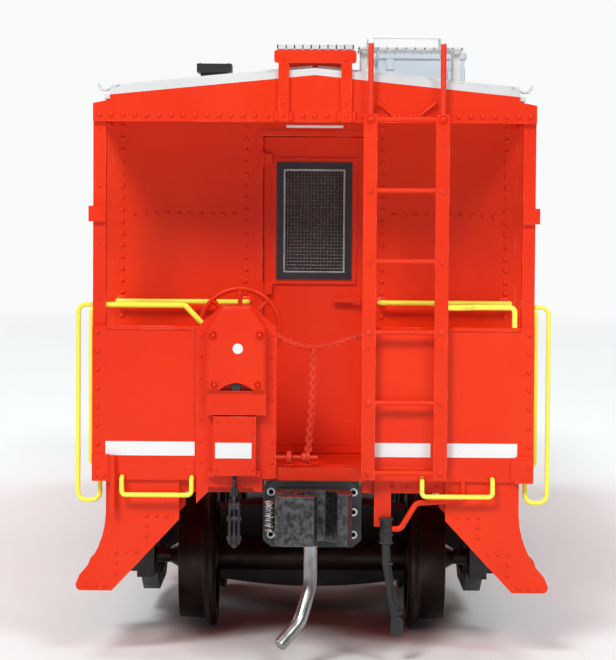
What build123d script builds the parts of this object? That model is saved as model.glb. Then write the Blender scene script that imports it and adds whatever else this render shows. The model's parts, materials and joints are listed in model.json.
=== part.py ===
from build123d import *
import os
from math import radians, tan

# A model caboose in HO scale (1:87), standing on the flanges of its wheels.
# Millimetres. The car runs along Y, +X is to the right of someone facing +Y, and z = 0 is the
# lowest point of the wheel flanges. Both ends are alike, so each end piece is made at the -Y end
# and copied by half a turn about Z.

# --- driving dimensions: overall ---------------------------------------------------------------
LENGTH = 124.0            # over the corner posts
WIDTH = 31.1              # over the body sides
PORCH = 9.0               # depth of each open end platform
FLOOR_TOP = 13.74
FLOOR_T = 1.0
HEADER_Z = 37.94          # underside of the gable headers
HEADER_RISE = 1.25        # from there to the outer top edge of the body side
ROOF_RISE = 1.9           # from the header's outer edge up to the roof peak less its thickness
ROOF_T = 0.5
ROOF_INSET = 1.19         # the roof sheet ends this far inside the body side
SIDE_T = 0.6
SHEET_T = 0.35            # thin sheet parts of the ends
GAP = 0.05                # working gap between faces that slide or sit loosely

# --- driving dimensions: running gear ----------------------------------------------------------
RAIL_TOP = 0.64           # flange depth, so also the height of the rail head
TREAD_R = 4.8
WHEEL_W = 2.79
FLANGE_W = 0.76
BACK_TO_BACK = 14.4
AXLE_R = 1.15
JOURNAL_R = 0.75
AXLE_LENGTH = 25.6        # over the points
WHEELBASE = 19.2
TRUCK_INSET = 23.6        # truck centre to the post face
TRUCK_W = 27.7            # over the side frames
SIDE_FRAME_T = 1.85
BOLSTER_TOP = 8.45
KINGPIN_R = 1.0
RUNNING_GAP = 0.08        # radial clearance of a shaft in its hole
COUPLER_Z = 10.56
COUPLER_PIVOT = 5.5       # pivot to the post face
COUPLER_REACH = 6.2       # post face to the pulling face of the knuckle
SHANK_T = 1.5
SHANK_W = 1.7
BOX_W = 6.6
BOX_WALL = 0.6
STRIKER_W = 6.9
STRIKER_LAP = 0.02        # the striker casting laps the sill cap by this much

# --- driving dimensions: end details -----------------------------------------------------------
POST = 0.9
PANEL_TOP = 23.59
SILL_DROP = 1.9           # floor top to the bottom of the end sill
DOOR_W = 7.6
DOOR_TOP = 37.3
PANE_W = 4.6
PANE_Z0 = 27.2
PANE_Z1 = 34.9
STAND_X = -5.37           # middle of the brake stand
STAND_W = 5.6
STAND_TOP = 25.14
HOUSING_W = 4.15
HOUSING_DEPTH = 1.1
HANDWHEEL_Z = 23.4
HANDWHEEL_R = 3.0
HANDWHEEL_RIM = 0.17      # half the thickness of the rim
LADDER_X = 6.4
LADDER_W = 6.0
STILE_W = 0.95
STILE_T = 0.4
LADDER_STANDOFF = 0.65
LADDER_TOP = 38.5
RUNG_PITCH = 4.95
STEP_WELL = 6.15          # how far the step wells reach into the car
STEP_DROP = 8.92          # floor top to the bottom of the stringers
WALK_W = 5.4
WALK_Z = 42.94            # underside of the running board
WALK_T = 0.45
RAIL_WIRE = 0.38
GRAB_WIRE = 0.33
GRAB_OUT = 1.05           # grab iron centre line to the face it stands on
BAY_OUT = 2.6             # the bay stands this far out of the side
BAY_LENGTH = 20.0
WINDOW_W = 5.2
WINDOW_H = 7.5
WINDOW_Z = 28.6           # middle of the side windows

# --- values worked out from them ---------------------------------------------------------------
HALF_L = LENGTH / 2
HALF_W = WIDTH / 2
BULKHEAD_Y = HALF_L - PORCH
INNER_W = HALF_W - SIDE_T
FLOOR_Z0 = FLOOR_TOP - FLOOR_T
SILL_Z0 = FLOOR_TOP - SILL_DROP
SIDE_TOP = HEADER_Z + HEADER_RISE
ROOF_HALF_W = HALF_W - ROOF_INSET
EAVE_Z = SIDE_TOP + 0.6                # underside of the roof sheet at its edge
PEAK_Z = EAVE_Z + ROOF_RISE - 0.45     # underside of the roof sheet at the ridge
ROOF_SLOPE = (PEAK_Z - EAVE_Z) / ROOF_HALF_W
PANEL_FACE = HALF_L + SHEET_T          # outer face of the porch panels
AXLE_Z = RAIL_TOP + TREAD_R
FLANGE_R = AXLE_Z
TRUCK_Y = HALF_L - TRUCK_INSET
PIVOT_Y = HALF_L - COUPLER_PIVOT
FRAME_X0 = TRUCK_W / 2 - SIDE_FRAME_T  # inner face of a truck side frame
STEP_X0 = HALF_W - STEP_WELL           # inner edge of the step wells


# --- helpers -----------------------------------------------------------------------------------
def roof_under(x):
    """Height of the underside of the roof sheet at x."""
    return PEAK_Z - ROOF_SLOPE * abs(x)


def bend_radii(points, bend):
    """The bend's radius at each corner of a route, limited by the shorter run beside it."""
    route = [Vector(*point) for point in points]
    radii = []
    for before, corner, after in zip(route, route[1:], route[2:]):
        turn = (corner - before).get_angle(after - corner)
        shorter = min((corner - before).length, (after - corner).length)
        radii.append(min(bend, 0.49 * shorter / tan(radians(turn / 2))))
    return radii


def wire(points, diameter, bend):
    """A round wire of straight runs joined by bends."""
    with BuildPart() as rod:
        with BuildLine() as path:
            FilletPolyline(*points, radius=bend_radii(points, bend))
        with BuildSketch(Plane(origin=path.line @ 0, z_dir=path.line % 0)):
            Circle(diameter / 2)
        sweep()
    return rod.part


def bar(start, end, diameter):
    """A straight round bar from one point to another."""
    axis = Vector(*end) - Vector(*start)
    with BuildPart() as rod:
        with BuildSketch(Plane(origin=start, z_dir=axis)):
            Circle(diameter / 2)
        extrude(amount=axis.length)
    return rod.part


def block(x0, x1, y0, y1, z0, z1):
    """A square-edged block between two corners."""
    with BuildPart() as solid:
        with BuildSketch(Plane.XY.offset(z0)):
            with Locations(((x0 + x1) / 2, (y0 + y1) / 2)):
                Rectangle(x1 - x0, y1 - y0)
        extrude(amount=z1 - z0)
    return solid.part


def end_plate(points, face, thickness):
    """A plate of the -Y end: x, z outline, its inner face this far out along -Y."""
    with BuildPart() as plate:
        with BuildSketch(Plane.XZ.offset(face)):
            with BuildLine():
                Polyline(*points, close=True)
            make_face()
        extrude(amount=thickness)
    return plate.part


def joined(*pieces):
    """Several pieces as one group or, where they touch, one solid."""
    with BuildPart() as group:
        for piece in pieces:
            add(piece)
    return group.part


def side_pair(piece):
    """A piece and its mirror image across the middle of the car."""
    return joined(piece, mirror(piece, about=Plane.YZ, mode=Mode.PRIVATE))


def save(piece, name):
    """Write one node."""
    piece.label = name
    export_step(piece, f"parts/{name}.step")


def save_both_ends(piece, name):
    """Write a piece of the -Y end together with its copy at the +Y end as one node."""
    save(joined(piece, piece.rotate(Axis.Z, 180)), name)


def save_each_end(piece, name):
    """Write a piece of the -Y end as node name_a, and its copy at the +Y end as name_b."""
    save(piece, f"{name}_a")
    save(piece.rotate(Axis.Z, 180), f"{name}_b")


# --- floor, sills and sides --------------------------------------------------------------------
SILL_BACK = 1.0           # the sill cap starts this far behind the post face
WEB_T = 0.8
BOX_NOTCH = BOX_W / 2 + 0.15
BODY_SCREW_Y = 18.0
BODY_SCREW_R = 0.8
SCREW_GAP = 0.1
SILL_HALF_W = 2.2         # centre sill
CENTER_SILL_Z0 = 9.3
BOX_BACK = 5.6            # draft box behind its pivot


def make_floor():
    porch_back = BULKHEAD_Y + 0.4
    with BuildPart() as floor:
        with BuildSketch(Plane.XY.offset(FLOOR_Z0)):
            Rectangle(2 * INNER_W, 2 * porch_back)
            Rectangle(2 * STEP_X0, 2 * (HALF_L - SILL_BACK))
            with Locations((0, BODY_SCREW_Y), (0, -BODY_SCREW_Y)):
                Circle(BODY_SCREW_R + SCREW_GAP, mode=Mode.SUBTRACT)
        extrude(amount=FLOOR_T)
    return floor.part


def make_center_sill():
    """Centre sill with the two body bolsters and their bearing bosses."""
    sill_half_l = PIVOT_Y - BOX_BACK
    with BuildPart() as sill:
        with BuildSketch(Plane.XY.offset(CENTER_SILL_Z0)):
            Rectangle(2 * SILL_HALF_W, 2 * sill_half_l)
            with Locations((0, BODY_SCREW_Y), (0, -BODY_SCREW_Y)):
                Circle(BODY_SCREW_R + SCREW_GAP, mode=Mode.SUBTRACT)
        extrude(amount=FLOOR_Z0 - CENTER_SILL_Z0)
        with BuildSketch(Plane.XY.offset(CENTER_SILL_Z0 + 1.2)):
            with Locations((0, TRUCK_Y), (0, -TRUCK_Y)):
                Rectangle(2 * (INNER_W - 1.5), 3.0)
        extrude(amount=FLOOR_Z0 - CENTER_SILL_Z0 - 1.2)
        with BuildSketch(Plane.XY.offset(BOLSTER_TOP + GAP)):
            with Locations((0, TRUCK_Y), (0, -TRUCK_Y)):
                Circle(2.6)
        extrude(amount=CENTER_SILL_Z0 - BOLSTER_TOP - GAP + 0.2)
        with BuildSketch(Plane.XY.offset(BOLSTER_TOP)):
            with Locations((0, TRUCK_Y), (0, -TRUCK_Y)):
                Circle(KINGPIN_R)
        extrude(amount=FLOOR_Z0 - BOLSTER_TOP - 1.0, mode=Mode.SUBTRACT)
    return sill.part


def make_end_sill():
    """Sill cap flush with the panels, and the deeper web behind it, notched for the draft box."""
    with BuildPart() as sill:
        with BuildSketch(Plane.XY.offset(FLOOR_Z0)):
            with Locations((0, -(HALF_L - SILL_BACK + PANEL_FACE) / 2)):
                Rectangle(WIDTH, PANEL_FACE - HALF_L + SILL_BACK)
        extrude(amount=FLOOR_T - GAP)
        with BuildSketch(Plane.XY.offset(SILL_Z0)):
            with Locations((0, -(HALF_L - SILL_BACK + WEB_T / 2))):
                Rectangle(WIDTH - 1.9, WEB_T)
                Rectangle(2 * BOX_NOTCH, WEB_T, mode=Mode.SUBTRACT)
        extrude(amount=FLOOR_Z0 - SILL_Z0)
    return sill.part


def make_gussets():
    """Riveted plates that tie the posts to the end sill."""
    low = FLOOR_Z0 - 0.1
    high = FLOOR_TOP + 0.8
    outline = ((-HALF_W, low), (-HALF_W + 1.3, low), (-HALF_W + 1.6, low + 0.5),
               (-HALF_W + 1.6, high - 0.3), (-HALF_W + 1.2, high), (-HALF_W, high))
    return side_pair(end_plate(outline, PANEL_FACE, 0.2))


def make_side():
    """The +X body side, with its windows and the bay's opening."""
    x0 = INNER_W
    outline = ((HALF_W, SILL_Z0), (HALF_W, SIDE_TOP), (ROOF_HALF_W, SIDE_TOP + 0.25),
               (ROOF_HALF_W, EAVE_Z), (ROOF_HALF_W - 0.4, roof_under(ROOF_HALF_W - 0.4)),
               (ROOF_HALF_W - 0.4, SIDE_TOP - 0.3), (x0, SIDE_TOP - 0.5), (x0, SILL_Z0))
    with BuildPart() as side:
        with BuildSketch(Plane.XZ):
            with BuildLine():
                Polyline(*outline, close=True)
            make_face()
        extrude(amount=BULKHEAD_Y, both=True)
        with BuildSketch(Plane.YZ.offset(HALF_W + 1)):
            with Locations(*[(y, WINDOW_Z) for y in side_window_places()]):
                Rectangle(WINDOW_W, WINDOW_H)
            with Locations((0, (FLOOR_TOP + 1 + SIDE_TOP - 2) / 2)):
                Rectangle(BAY_LENGTH - 3, SIDE_TOP - 2 - FLOOR_TOP - 1)
        extrude(amount=-2 * SIDE_T - 1.2, mode=Mode.SUBTRACT)
    return side.part


def side_window_places():
    """Middles of the side windows along the car: one each way between bay and bulkhead."""
    middle = (BAY_LENGTH / 2 + BULKHEAD_Y) / 2
    return (-middle, middle)


BAY_T = 0.6
BAY_CHAMFER = 1.2


def bay_outline(inset):
    """Plan of the bay, shrunk by inset, open towards the car."""
    half = BAY_LENGTH / 2 - inset
    out = HALF_W + BAY_OUT - inset
    return ((HALF_W, -half), (HALF_W + 0.1, -half), (out, -half + BAY_CHAMFER),
            (out, half - BAY_CHAMFER), (HALF_W + 0.1, half), (HALF_W, half))


def bay_window_places():
    """Middles of the two windows of a bay along the car."""
    quarter = (BAY_LENGTH - 2 * BAY_CHAMFER) / 4
    return (-quarter, quarter)


def make_bay():
    """The +X bay: hollow, with a floor and a cap, and two windows in its face."""
    with BuildPart() as bay:
        with BuildSketch(Plane.XY.offset(SILL_Z0 + 0.6)):
            with BuildLine():
                Polyline(*bay_outline(0), close=True)
            make_face()
        extrude(amount=SIDE_TOP - SILL_Z0 - 0.9)
        with BuildSketch(Plane.XY.offset(FLOOR_TOP)):
            with BuildLine():
                Polyline(*bay_outline(BAY_T), close=True)
            make_face()
        extrude(amount=SIDE_TOP - 1.2 - FLOOR_TOP, mode=Mode.SUBTRACT)
        with BuildSketch(Plane.YZ.offset(HALF_W + BAY_OUT)):
            with Locations(*[(y, WINDOW_Z) for y in bay_window_places()]):
                Rectangle(WINDOW_W, WINDOW_H)
        extrude(amount=-BAY_T, mode=Mode.SUBTRACT)
    return bay.part


GASKET = 0.3


def window_ring(x, y, depth, inset, fill):
    """A gasket ring (fill False) or a pane (fill True) in one window, its outer face at x."""
    with BuildPart() as ring:
        with BuildSketch(Plane.YZ.offset(x - depth)):
            with Locations((y, WINDOW_Z)):
                Rectangle(WINDOW_W - 2 * inset, WINDOW_H - 2 * inset)
                if not fill:
                    Rectangle(WINDOW_W - 2 * inset - 2 * GASKET,
                              WINDOW_H - 2 * inset - 2 * GASKET, mode=Mode.SUBTRACT)
        extrude(amount=depth)
    return ring.part


def make_window_set(outset, depth, inset, fill):
    """The same ring or pane in every side and bay window."""
    rings = [window_ring(HALF_W + outset, y, depth, inset, fill) for y in side_window_places()]
    bay_x = HALF_W + BAY_OUT + outset
    rings += [window_ring(bay_x, y, depth, inset, fill) for y in bay_window_places()]
    return side_pair(joined(*rings))


def make_bulkhead():
    """End wall of the cabin with its door opening."""
    side = INNER_W
    outline = ((-side, FLOOR_TOP), (side, FLOOR_TOP), (side, SIDE_TOP - 0.5),
               (ROOF_HALF_W - 0.4, SIDE_TOP - 0.3), (ROOF_HALF_W - 0.4, roof_under(ROOF_HALF_W - 0.4)),
               (0, PEAK_Z), (-ROOF_HALF_W + 0.4, roof_under(ROOF_HALF_W - 0.4)),
               (-ROOF_HALF_W + 0.4, SIDE_TOP - 0.3), (-side, SIDE_TOP - 0.5))
    with BuildPart() as wall:
        with BuildSketch(Plane.XZ.offset(BULKHEAD_Y - SIDE_T)):
            with BuildLine():
                Polyline(*outline, close=True)
            make_face()
            with Locations((0, (FLOOR_TOP + DOOR_TOP) / 2)):
                Rectangle(DOOR_W, DOOR_TOP - FLOOR_TOP, mode=Mode.SUBTRACT)
        extrude(amount=SIDE_T)
    return wall.part


WINDOW_LAND = 0.8         # raised ring of the door window, outside the pane's opening
PANE_GASKET = 0.5


def pane_ring(outer, inner, face, thickness):
    """A rectangular ring round the door's pane, its widths measured out from the opening."""
    with BuildPart() as ring:
        with BuildSketch(Plane.XZ.offset(face)):
            with Locations((0, (PANE_Z0 + PANE_Z1) / 2)):
                Rectangle(PANE_W + 2 * outer, PANE_Z1 - PANE_Z0 + 2 * outer)
                Rectangle(PANE_W + 2 * inner, PANE_Z1 - PANE_Z0 + 2 * inner, mode=Mode.SUBTRACT)
        extrude(amount=thickness)
    return ring.part


DOOR_SET = 0.25           # the door leaf stands back from the wall's face
DOOR_T = 0.5


def make_door():
    """Door leaf with the raised ring of its window."""
    face = BULKHEAD_Y - DOOR_SET
    with BuildPart() as door:
        with BuildSketch(Plane.XZ.offset(face - DOOR_T)):
            with Locations((0, (FLOOR_TOP + DOOR_TOP) / 2)):
                Rectangle(DOOR_W - 2 * GAP, DOOR_TOP - FLOOR_TOP - 2 * GAP)
            with Locations((0, (PANE_Z0 + PANE_Z1) / 2)):
                Rectangle(PANE_W, PANE_Z1 - PANE_Z0, mode=Mode.SUBTRACT)
        extrude(amount=DOOR_T)
        add(pane_ring(WINDOW_LAND, PANE_GASKET, face, 0.2))
    return door.part


def make_door_casing():
    """Thin riveted casing on the wall round the door."""
    half = DOOR_W / 2 + 0.4
    low = FLOOR_TOP
    high = DOOR_TOP + 0.4
    door = DOOR_W / 2
    outline = ((-half, low), (-door, low), (-door, DOOR_TOP), (door, DOOR_TOP), (door, low),
               (half, low), (half, high), (-half, high))
    return end_plate(outline, BULKHEAD_Y, 0.15)


def make_door_handle():
    """Round rose with a lever."""
    x = DOOR_W / 2 - 0.7
    z = PANE_Z0 - 2.0
    face = BULKHEAD_Y - DOOR_SET
    with BuildPart() as handle:
        with BuildSketch(Plane.XZ.offset(face)):
            with Locations((x, z)):
                Circle(0.35)
        extrude(amount=0.5)
        with BuildSketch(Plane.XZ.offset(face + 0.25)):
            with Locations((x - 0.75, z)):
                SlotOverall(1.9, 0.3)
        extrude(amount=0.3)
    return handle.part


# --- roof, headers, posts and panels -----------------------------------------------------------
ROOF_OVERHANG = SHEET_T   # the roof sheet past the post face, flush with the header
HEADER_BACK = 0.5         # the header's back face behind the post face


def make_roof():
    with BuildPart() as roof:
        with BuildSketch(Plane.XZ):
            with BuildLine():
                Polyline((-ROOF_HALF_W, EAVE_Z), (0, PEAK_Z), (ROOF_HALF_W, EAVE_Z),
                         (ROOF_HALF_W, EAVE_Z + ROOF_T), (0, PEAK_Z + ROOF_T),
                         (-ROOF_HALF_W, EAVE_Z + ROOF_T), close=True)
            make_face()
        extrude(amount=HALF_L + ROOF_OVERHANG, both=True)
    return roof.part


def roof_top(x):
    """Height of the upper face of the roof sheet at x."""
    return roof_under(x) + ROOF_T


def make_gutter():
    """Light strip along the +X eave, outside the roof sheet."""
    half_l = HALF_L + ROOF_OVERHANG - 0.1
    return block(ROOF_HALF_W, ROOF_HALF_W + 0.4, -half_l, half_l, SIDE_TOP + 0.3, EAVE_Z)


def make_end_header():
    """Gable header over the platform."""
    outline = ((-HALF_W, HEADER_Z), (HALF_W, HEADER_Z), (HALF_W, SIDE_TOP),
               (ROOF_HALF_W, SIDE_TOP + 0.25), (ROOF_HALF_W, EAVE_Z), (0, PEAK_Z),
               (-ROOF_HALF_W, EAVE_Z), (-ROOF_HALF_W, SIDE_TOP + 0.25), (-HALF_W, SIDE_TOP))
    return end_plate(outline, HALF_L - HEADER_BACK, HEADER_BACK + SHEET_T)


def make_side_headers():
    """Letterboards over the open sides of the platform."""
    inner = ROOF_HALF_W - 0.4
    outline = ((HALF_W, HEADER_Z), (HALF_W, SIDE_TOP), (ROOF_HALF_W, SIDE_TOP + 0.25),
               (ROOF_HALF_W, EAVE_Z), (inner, roof_under(inner)), (inner, SIDE_TOP - 0.3),
               (INNER_W, SIDE_TOP - 0.5), (INNER_W, HEADER_Z))
    return side_pair(end_plate(outline, BULKHEAD_Y, PORCH - HEADER_BACK))


def make_posts():
    post = block(HALF_W - POST, HALF_W, -HALF_L, POST - HALF_L, FLOOR_TOP - GAP, HEADER_Z)
    return side_pair(post)


PANEL_INNER_X = 3.65      # inner edge of the right-hand panel
STAND_LAP = 0.5           # the left-hand panel reaches this far behind the brake stand


def make_panels():
    """The two porch panels, left and right of the gangway."""
    low = FLOOR_TOP - GAP
    stand_edge = STAND_X - STAND_W / 2 + STAND_LAP
    left = block(-HALF_W, stand_edge, -PANEL_FACE, -HALF_L, low, PANEL_TOP)
    right = block(PANEL_INNER_X, HALF_W, -PANEL_FACE, -HALF_L, low, PANEL_TOP)
    return joined(left, right)


BRACKET_Z = 30.9
BRACKET_H = 1.1
BRACKET_T = 0.3


def make_marker_brackets():
    """Lamp brackets wrapped round the outer corners of the posts."""
    with BuildPart() as bracket:
        with BuildSketch(Plane.XY.offset(BRACKET_Z)):
            with BuildLine():
                Polyline((HALF_W, POST - HALF_L), (HALF_W + BRACKET_T, POST - HALF_L),
                         (HALF_W + BRACKET_T, -HALF_L - BRACKET_T),
                         (HALF_W - POST, -HALF_L - BRACKET_T), (HALF_W - POST, -HALF_L),
                         (HALF_W, -HALF_L), close=True)
            make_face()
        extrude(amount=BRACKET_H)
    return side_pair(bracket.part)


# --- brake stand -------------------------------------------------------------------------------
STAND_FACE = PANEL_FACE + SHEET_T
SHOULDER_DROP = 1.6       # the stand narrows over this height to its top
STAND_TIP = 0.97          # half the width of its top edge
HOUSING_Z0 = 19.1
HOUSING_STEP_Z0 = 17.44
LOWER_BOX_W = 3.0
LOWER_BOX_Z0 = 13.2
LOWER_BOX_DEPTH = 0.85
HANDWHEEL_X = STAND_X + 0.15
HANDWHEEL_Y = 1.4         # plane of the wheel behind the post face
SHAFT_R = 0.25


def make_brake_stand():
    """Flanged back plate of the stand, with the bearing hole of the handwheel shaft."""
    x0 = STAND_X - STAND_W / 2
    x1 = STAND_X + STAND_W / 2
    base = FLOOR_Z0 - 0.45
    flange_foot = FLOOR_Z0 + STRIKER_LAP + 0.15
    toe_x = -STRIKER_W / 2 - 0.1
    shoulder = STAND_TOP - SHOULDER_DROP
    with BuildPart() as stand:
        with BuildSketch(Plane.XZ.offset(PANEL_FACE)):
            with BuildLine():
                Polyline((x0, base - 1.15), (x0 + 0.85, base - 0.3), (x0 + 0.85, base),
                         (toe_x - 0.7, base), (toe_x - 0.5, base - 0.3), (toe_x, base - 0.3),
                         (toe_x, flange_foot), (x1, flange_foot), (x1, shoulder),
                         (STAND_X + STAND_TIP, STAND_TOP),
                         (STAND_X - STAND_TIP, STAND_TOP), (x0, shoulder), close=True)
            make_face()
            with Locations((HANDWHEEL_X, HANDWHEEL_Z)):
                Circle(SHAFT_R + RUNNING_GAP, mode=Mode.SUBTRACT)
        extrude(amount=SHEET_T)
    return stand.part


def make_brake_housing():
    """Gear housing with its half-moon opening, the plate under it and the lower box."""
    half = HOUSING_W / 2
    shoulder = STAND_TOP - SHOULDER_DROP
    with BuildPart() as housing:
        with BuildSketch(Plane.XZ.offset(STAND_FACE)):
            with BuildLine():
                Polyline((STAND_X - half, HOUSING_Z0), (STAND_X + half, HOUSING_Z0),
                         (STAND_X + half, shoulder), (STAND_X + STAND_TIP, STAND_TOP - 0.05),
                         (STAND_X - STAND_TIP, STAND_TOP - 0.05), (STAND_X - half, shoulder),
                         close=True)
            make_face()
        extrude(amount=HOUSING_DEPTH)
        chamfer(housing.faces().sort_by(Axis.Y)[0].edges(), 0.18)
        with BuildSketch(Plane.XZ.offset(STAND_FACE)):
            with Locations((STAND_X, (HOUSING_STEP_Z0 + HOUSING_Z0) / 2)):
                Rectangle(HOUSING_W, HOUSING_Z0 - HOUSING_STEP_Z0)
        extrude(amount=HOUSING_DEPTH - 0.35)
        with BuildSketch(Plane.XZ.offset(STAND_FACE + HOUSING_DEPTH)):
            with BuildLine():
                Line((STAND_X - 1.2, HOUSING_Z0 + 0.05), (STAND_X + 1.2, HOUSING_Z0 + 0.05))
                ThreePointArc((STAND_X - 1.2, HOUSING_Z0 + 0.05), (STAND_X, HOUSING_Z0 + 0.6),
                              (STAND_X + 1.2, HOUSING_Z0 + 0.05))
            make_face()
        extrude(amount=-HOUSING_DEPTH + 0.3, mode=Mode.SUBTRACT)
        with BuildSketch(Plane.XZ.offset(STAND_FACE)):
            with Locations((STAND_X - 0.1, (LOWER_BOX_Z0 + HOUSING_STEP_Z0 - 0.1) / 2)):
                Rectangle(LOWER_BOX_W, HOUSING_STEP_Z0 - 0.1 - LOWER_BOX_Z0)
        extrude(amount=LOWER_BOX_DEPTH)
    return housing.part


def make_brake_pendant():
    """Rod and chain clevis hanging under the stand."""
    x = STAND_X - 0.1
    y = -STAND_FACE - 0.4
    rod = bar((x, y, 11.6), (x, y, LOWER_BOX_Z0), 0.28)
    clevis = block(x - 0.5, x + 0.5, y - 0.3, y + 0.3, 8.0, 11.65)
    return joined(rod, clevis)


SPOKES = 8
HUB_R = 0.5


def make_handwheel():
    """Round rim, spokes, hub and the shaft into the stand."""
    y = HANDWHEEL_Y - HALF_L
    centre = Vector(HANDWHEEL_X, y, HANDWHEEL_Z)
    rim = HANDWHEEL_R - HANDWHEEL_RIM
    with BuildPart() as wheel:
        with BuildSketch(Plane(origin=centre, z_dir=(0, -1, 0)).offset(-HANDWHEEL_RIM)):
            Circle(HANDWHEEL_R)
            Circle(HANDWHEEL_R - 2 * HANDWHEEL_RIM, mode=Mode.SUBTRACT)
        extrude(amount=2 * HANDWHEEL_RIM)
        with BuildSketch(Plane(origin=centre, z_dir=(0, -1, 0)).offset(-HUB_R / 2)):
            Circle(HUB_R)
        extrude(amount=HUB_R)
        for turn in range(SPOKES):
            spoke_dir = Vector(1, 0, 0).rotate(Axis.Y, 360 / SPOKES * turn)
            with BuildSketch(Plane(origin=centre, z_dir=spoke_dir)):
                Circle(HANDWHEEL_RIM * 0.65)
            extrude(amount=rim)
        with BuildSketch(Plane(origin=centre, z_dir=(0, -1, 0))):
            Circle(SHAFT_R)
        extrude(amount=STAND_FACE - HALF_L + HANDWHEEL_Y - GAP)
    return wheel.part


# --- ladder, roof walk and roof equipment ------------------------------------------------------
LADDER_BACK = PANEL_FACE + LADDER_STANDOFF
LADDER_Z0 = FLOOR_Z0 + 0.2
RUNG_Z0 = LADDER_Z0 + 0.45
RUNGS = int((LADDER_TOP - RUNG_Z0) / RUNG_PITCH) + 1
RUNG_D = 0.35
HOOP_TOP = 43.9
HOOP_BACK = 4.4           # from the ladder back to the rear legs of its hoops
HOOP_WIRE = 0.4


def stile_places():
    offset = (LADDER_W - STILE_W) / 2
    return (LADDER_X - offset, LADDER_X + offset)


def make_ladder():
    """Two stiles, round rungs, and the standoffs that hold the ladder to the end."""
    rung_y = -(LADDER_BACK + STILE_T / 2)
    standoffs = (LADDER_Z0 + 0.3, PANEL_TOP - 0.5, HEADER_Z + 0.35)
    with BuildPart() as ladder:
        with BuildSketch(Plane.XZ.offset(LADDER_BACK)):
            with Locations(*[(x, (LADDER_Z0 + LADDER_TOP) / 2) for x in stile_places()]):
                Rectangle(STILE_W, LADDER_TOP - LADDER_Z0)
        extrude(amount=STILE_T)
        for index in range(RUNGS):
            z = RUNG_Z0 + index * RUNG_PITCH
            with BuildSketch(Plane.YZ.offset(stile_places()[0])):
                with Locations((rung_y, z)):
                    Circle(RUNG_D / 2)
            extrude(amount=LADDER_W - STILE_W)
        with BuildSketch(Plane.XZ.offset(PANEL_FACE)):
            with Locations(*[(x, z) for x in stile_places() for z in standoffs]):
                Rectangle(0.4, 0.5)
        extrude(amount=LADDER_STANDOFF)
    return ladder.part


def make_ladder_hoops():
    """Handrail hoops from the ladder top back to the roof, with a thin crossbar."""
    front = -(LADDER_BACK + STILE_T / 2)
    back = front + HOOP_BACK
    splay = 0.45
    hoops = []
    for x, foot in zip(stile_places(), (stile_places()[0] - splay, stile_places()[1] + splay)):
        route = ((x, front, LADDER_TOP), (x, front, HOOP_TOP), (x, back, HOOP_TOP),
                 (foot, back, roof_top(foot)))
        hoops.append(wire(route, HOOP_WIRE, 0.8))
    x0, x1 = stile_places()
    crossbar = bar((x0, front + 1.0, HOOP_TOP), (x1, front + 1.0, HOOP_TOP), 0.22)
    return joined(*hoops, crossbar)


WALK_REACH = 0.6          # the running board past the post face
SADDLES = 9
WALK_BRACKET_LEG = 0.75


def make_running_board():
    half_l = HALF_L + WALK_REACH
    return block(-WALK_W / 2, WALK_W / 2, -half_l, half_l, WALK_Z, WALK_Z + WALK_T)


def make_walk_saddles():
    """Supports between the roof and the running board."""
    half = WALK_W / 2 - 0.4
    pitch = (LENGTH - 2 * PORCH) / (SADDLES - 1)
    with BuildPart() as saddles:
        for index in range(SADDLES):
            y = -(index - (SADDLES - 1) / 2) * pitch
            with BuildSketch(Plane.XZ.offset(y - 0.3)):
                with BuildLine():
                    Polyline((-half, roof_top(half)), (0, roof_top(0)), (half, roof_top(half)),
                             (half, WALK_Z), (-half, WALK_Z), close=True)
                make_face()
            extrude(amount=0.6)
    return saddles.part


def make_walk_bracket():
    """Two legs on the header and a round-ended bar under the running board."""
    leg_x = WALK_W / 2 - 0.5
    bar_h = 0.88
    with BuildPart() as bracket:
        with BuildSketch(Plane.XZ.offset(PANEL_FACE)):
            with Locations((0, WALK_Z - bar_h / 2)):
                RectangleRounded(WALK_W + 0.35, bar_h, 0.2)
            with Locations(*[(x, (HEADER_Z + WALK_Z - 0.4) / 2) for x in (-leg_x, leg_x)]):
                Rectangle(WALK_BRACKET_LEG, WALK_Z - 0.4 - HEADER_Z)
        extrude(amount=SHEET_T)
    return bracket.part


PLATFORM_LENGTH = 7.3
PLATFORM_DEPTH = 3.4
PLATFORM_T = 0.3


def make_lateral_platform():
    """Small platform beside the running board, level with the ladder top, on four legs."""
    x0 = WALK_W / 2 + 0.3
    x1 = x0 + PLATFORM_LENGTH
    y0 = -(HALF_L + WALK_REACH)
    y1 = y0 + PLATFORM_DEPTH
    leg = 0.5
    with BuildPart() as platform:
        with BuildSketch(Plane.XY.offset(WALK_Z)):
            with Locations(((x0 + x1) / 2, (y0 + y1) / 2)):
                Rectangle(x1 - x0, y1 - y0)
        extrude(amount=PLATFORM_T)
        for x in (x0 + 0.4, x1 - 0.4):
            foot = roof_top(x - leg / 2)
            with BuildSketch(Plane.XY.offset(foot)):
                with Locations((x, y0 + 0.8), (x, y1 - 0.4)):
                    Rectangle(leg, leg)
            extrude(amount=WALK_Z - foot)
    return platform.part


EQUIPMENT_TOP = 46.0
BOX_EDGE = 1.16           # roof edge to the equipment box
BOX_LID_W = 7.9
BOX_Y = -22.0
BOX_LID_L = 12.0
BOX_LID_T = 0.7
STACK_EDGE = 3.11         # roof edge to the smokestack
STACK_SIDE = 3.3          # side of its cap
STACK_CAP_T = 0.8


def roof_mounted(x0, x1, y0, length, top):
    """A block whose underside follows the roof."""
    with BuildPart() as solid:
        with BuildSketch(Plane.XZ.offset(-y0 - length)):
            with BuildLine():
                Polyline((x0, roof_top(x0)), (x1, roof_top(x1)), (x1, top), (x0, top), close=True)
            make_face()
        extrude(amount=length)
    return solid.part


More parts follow.
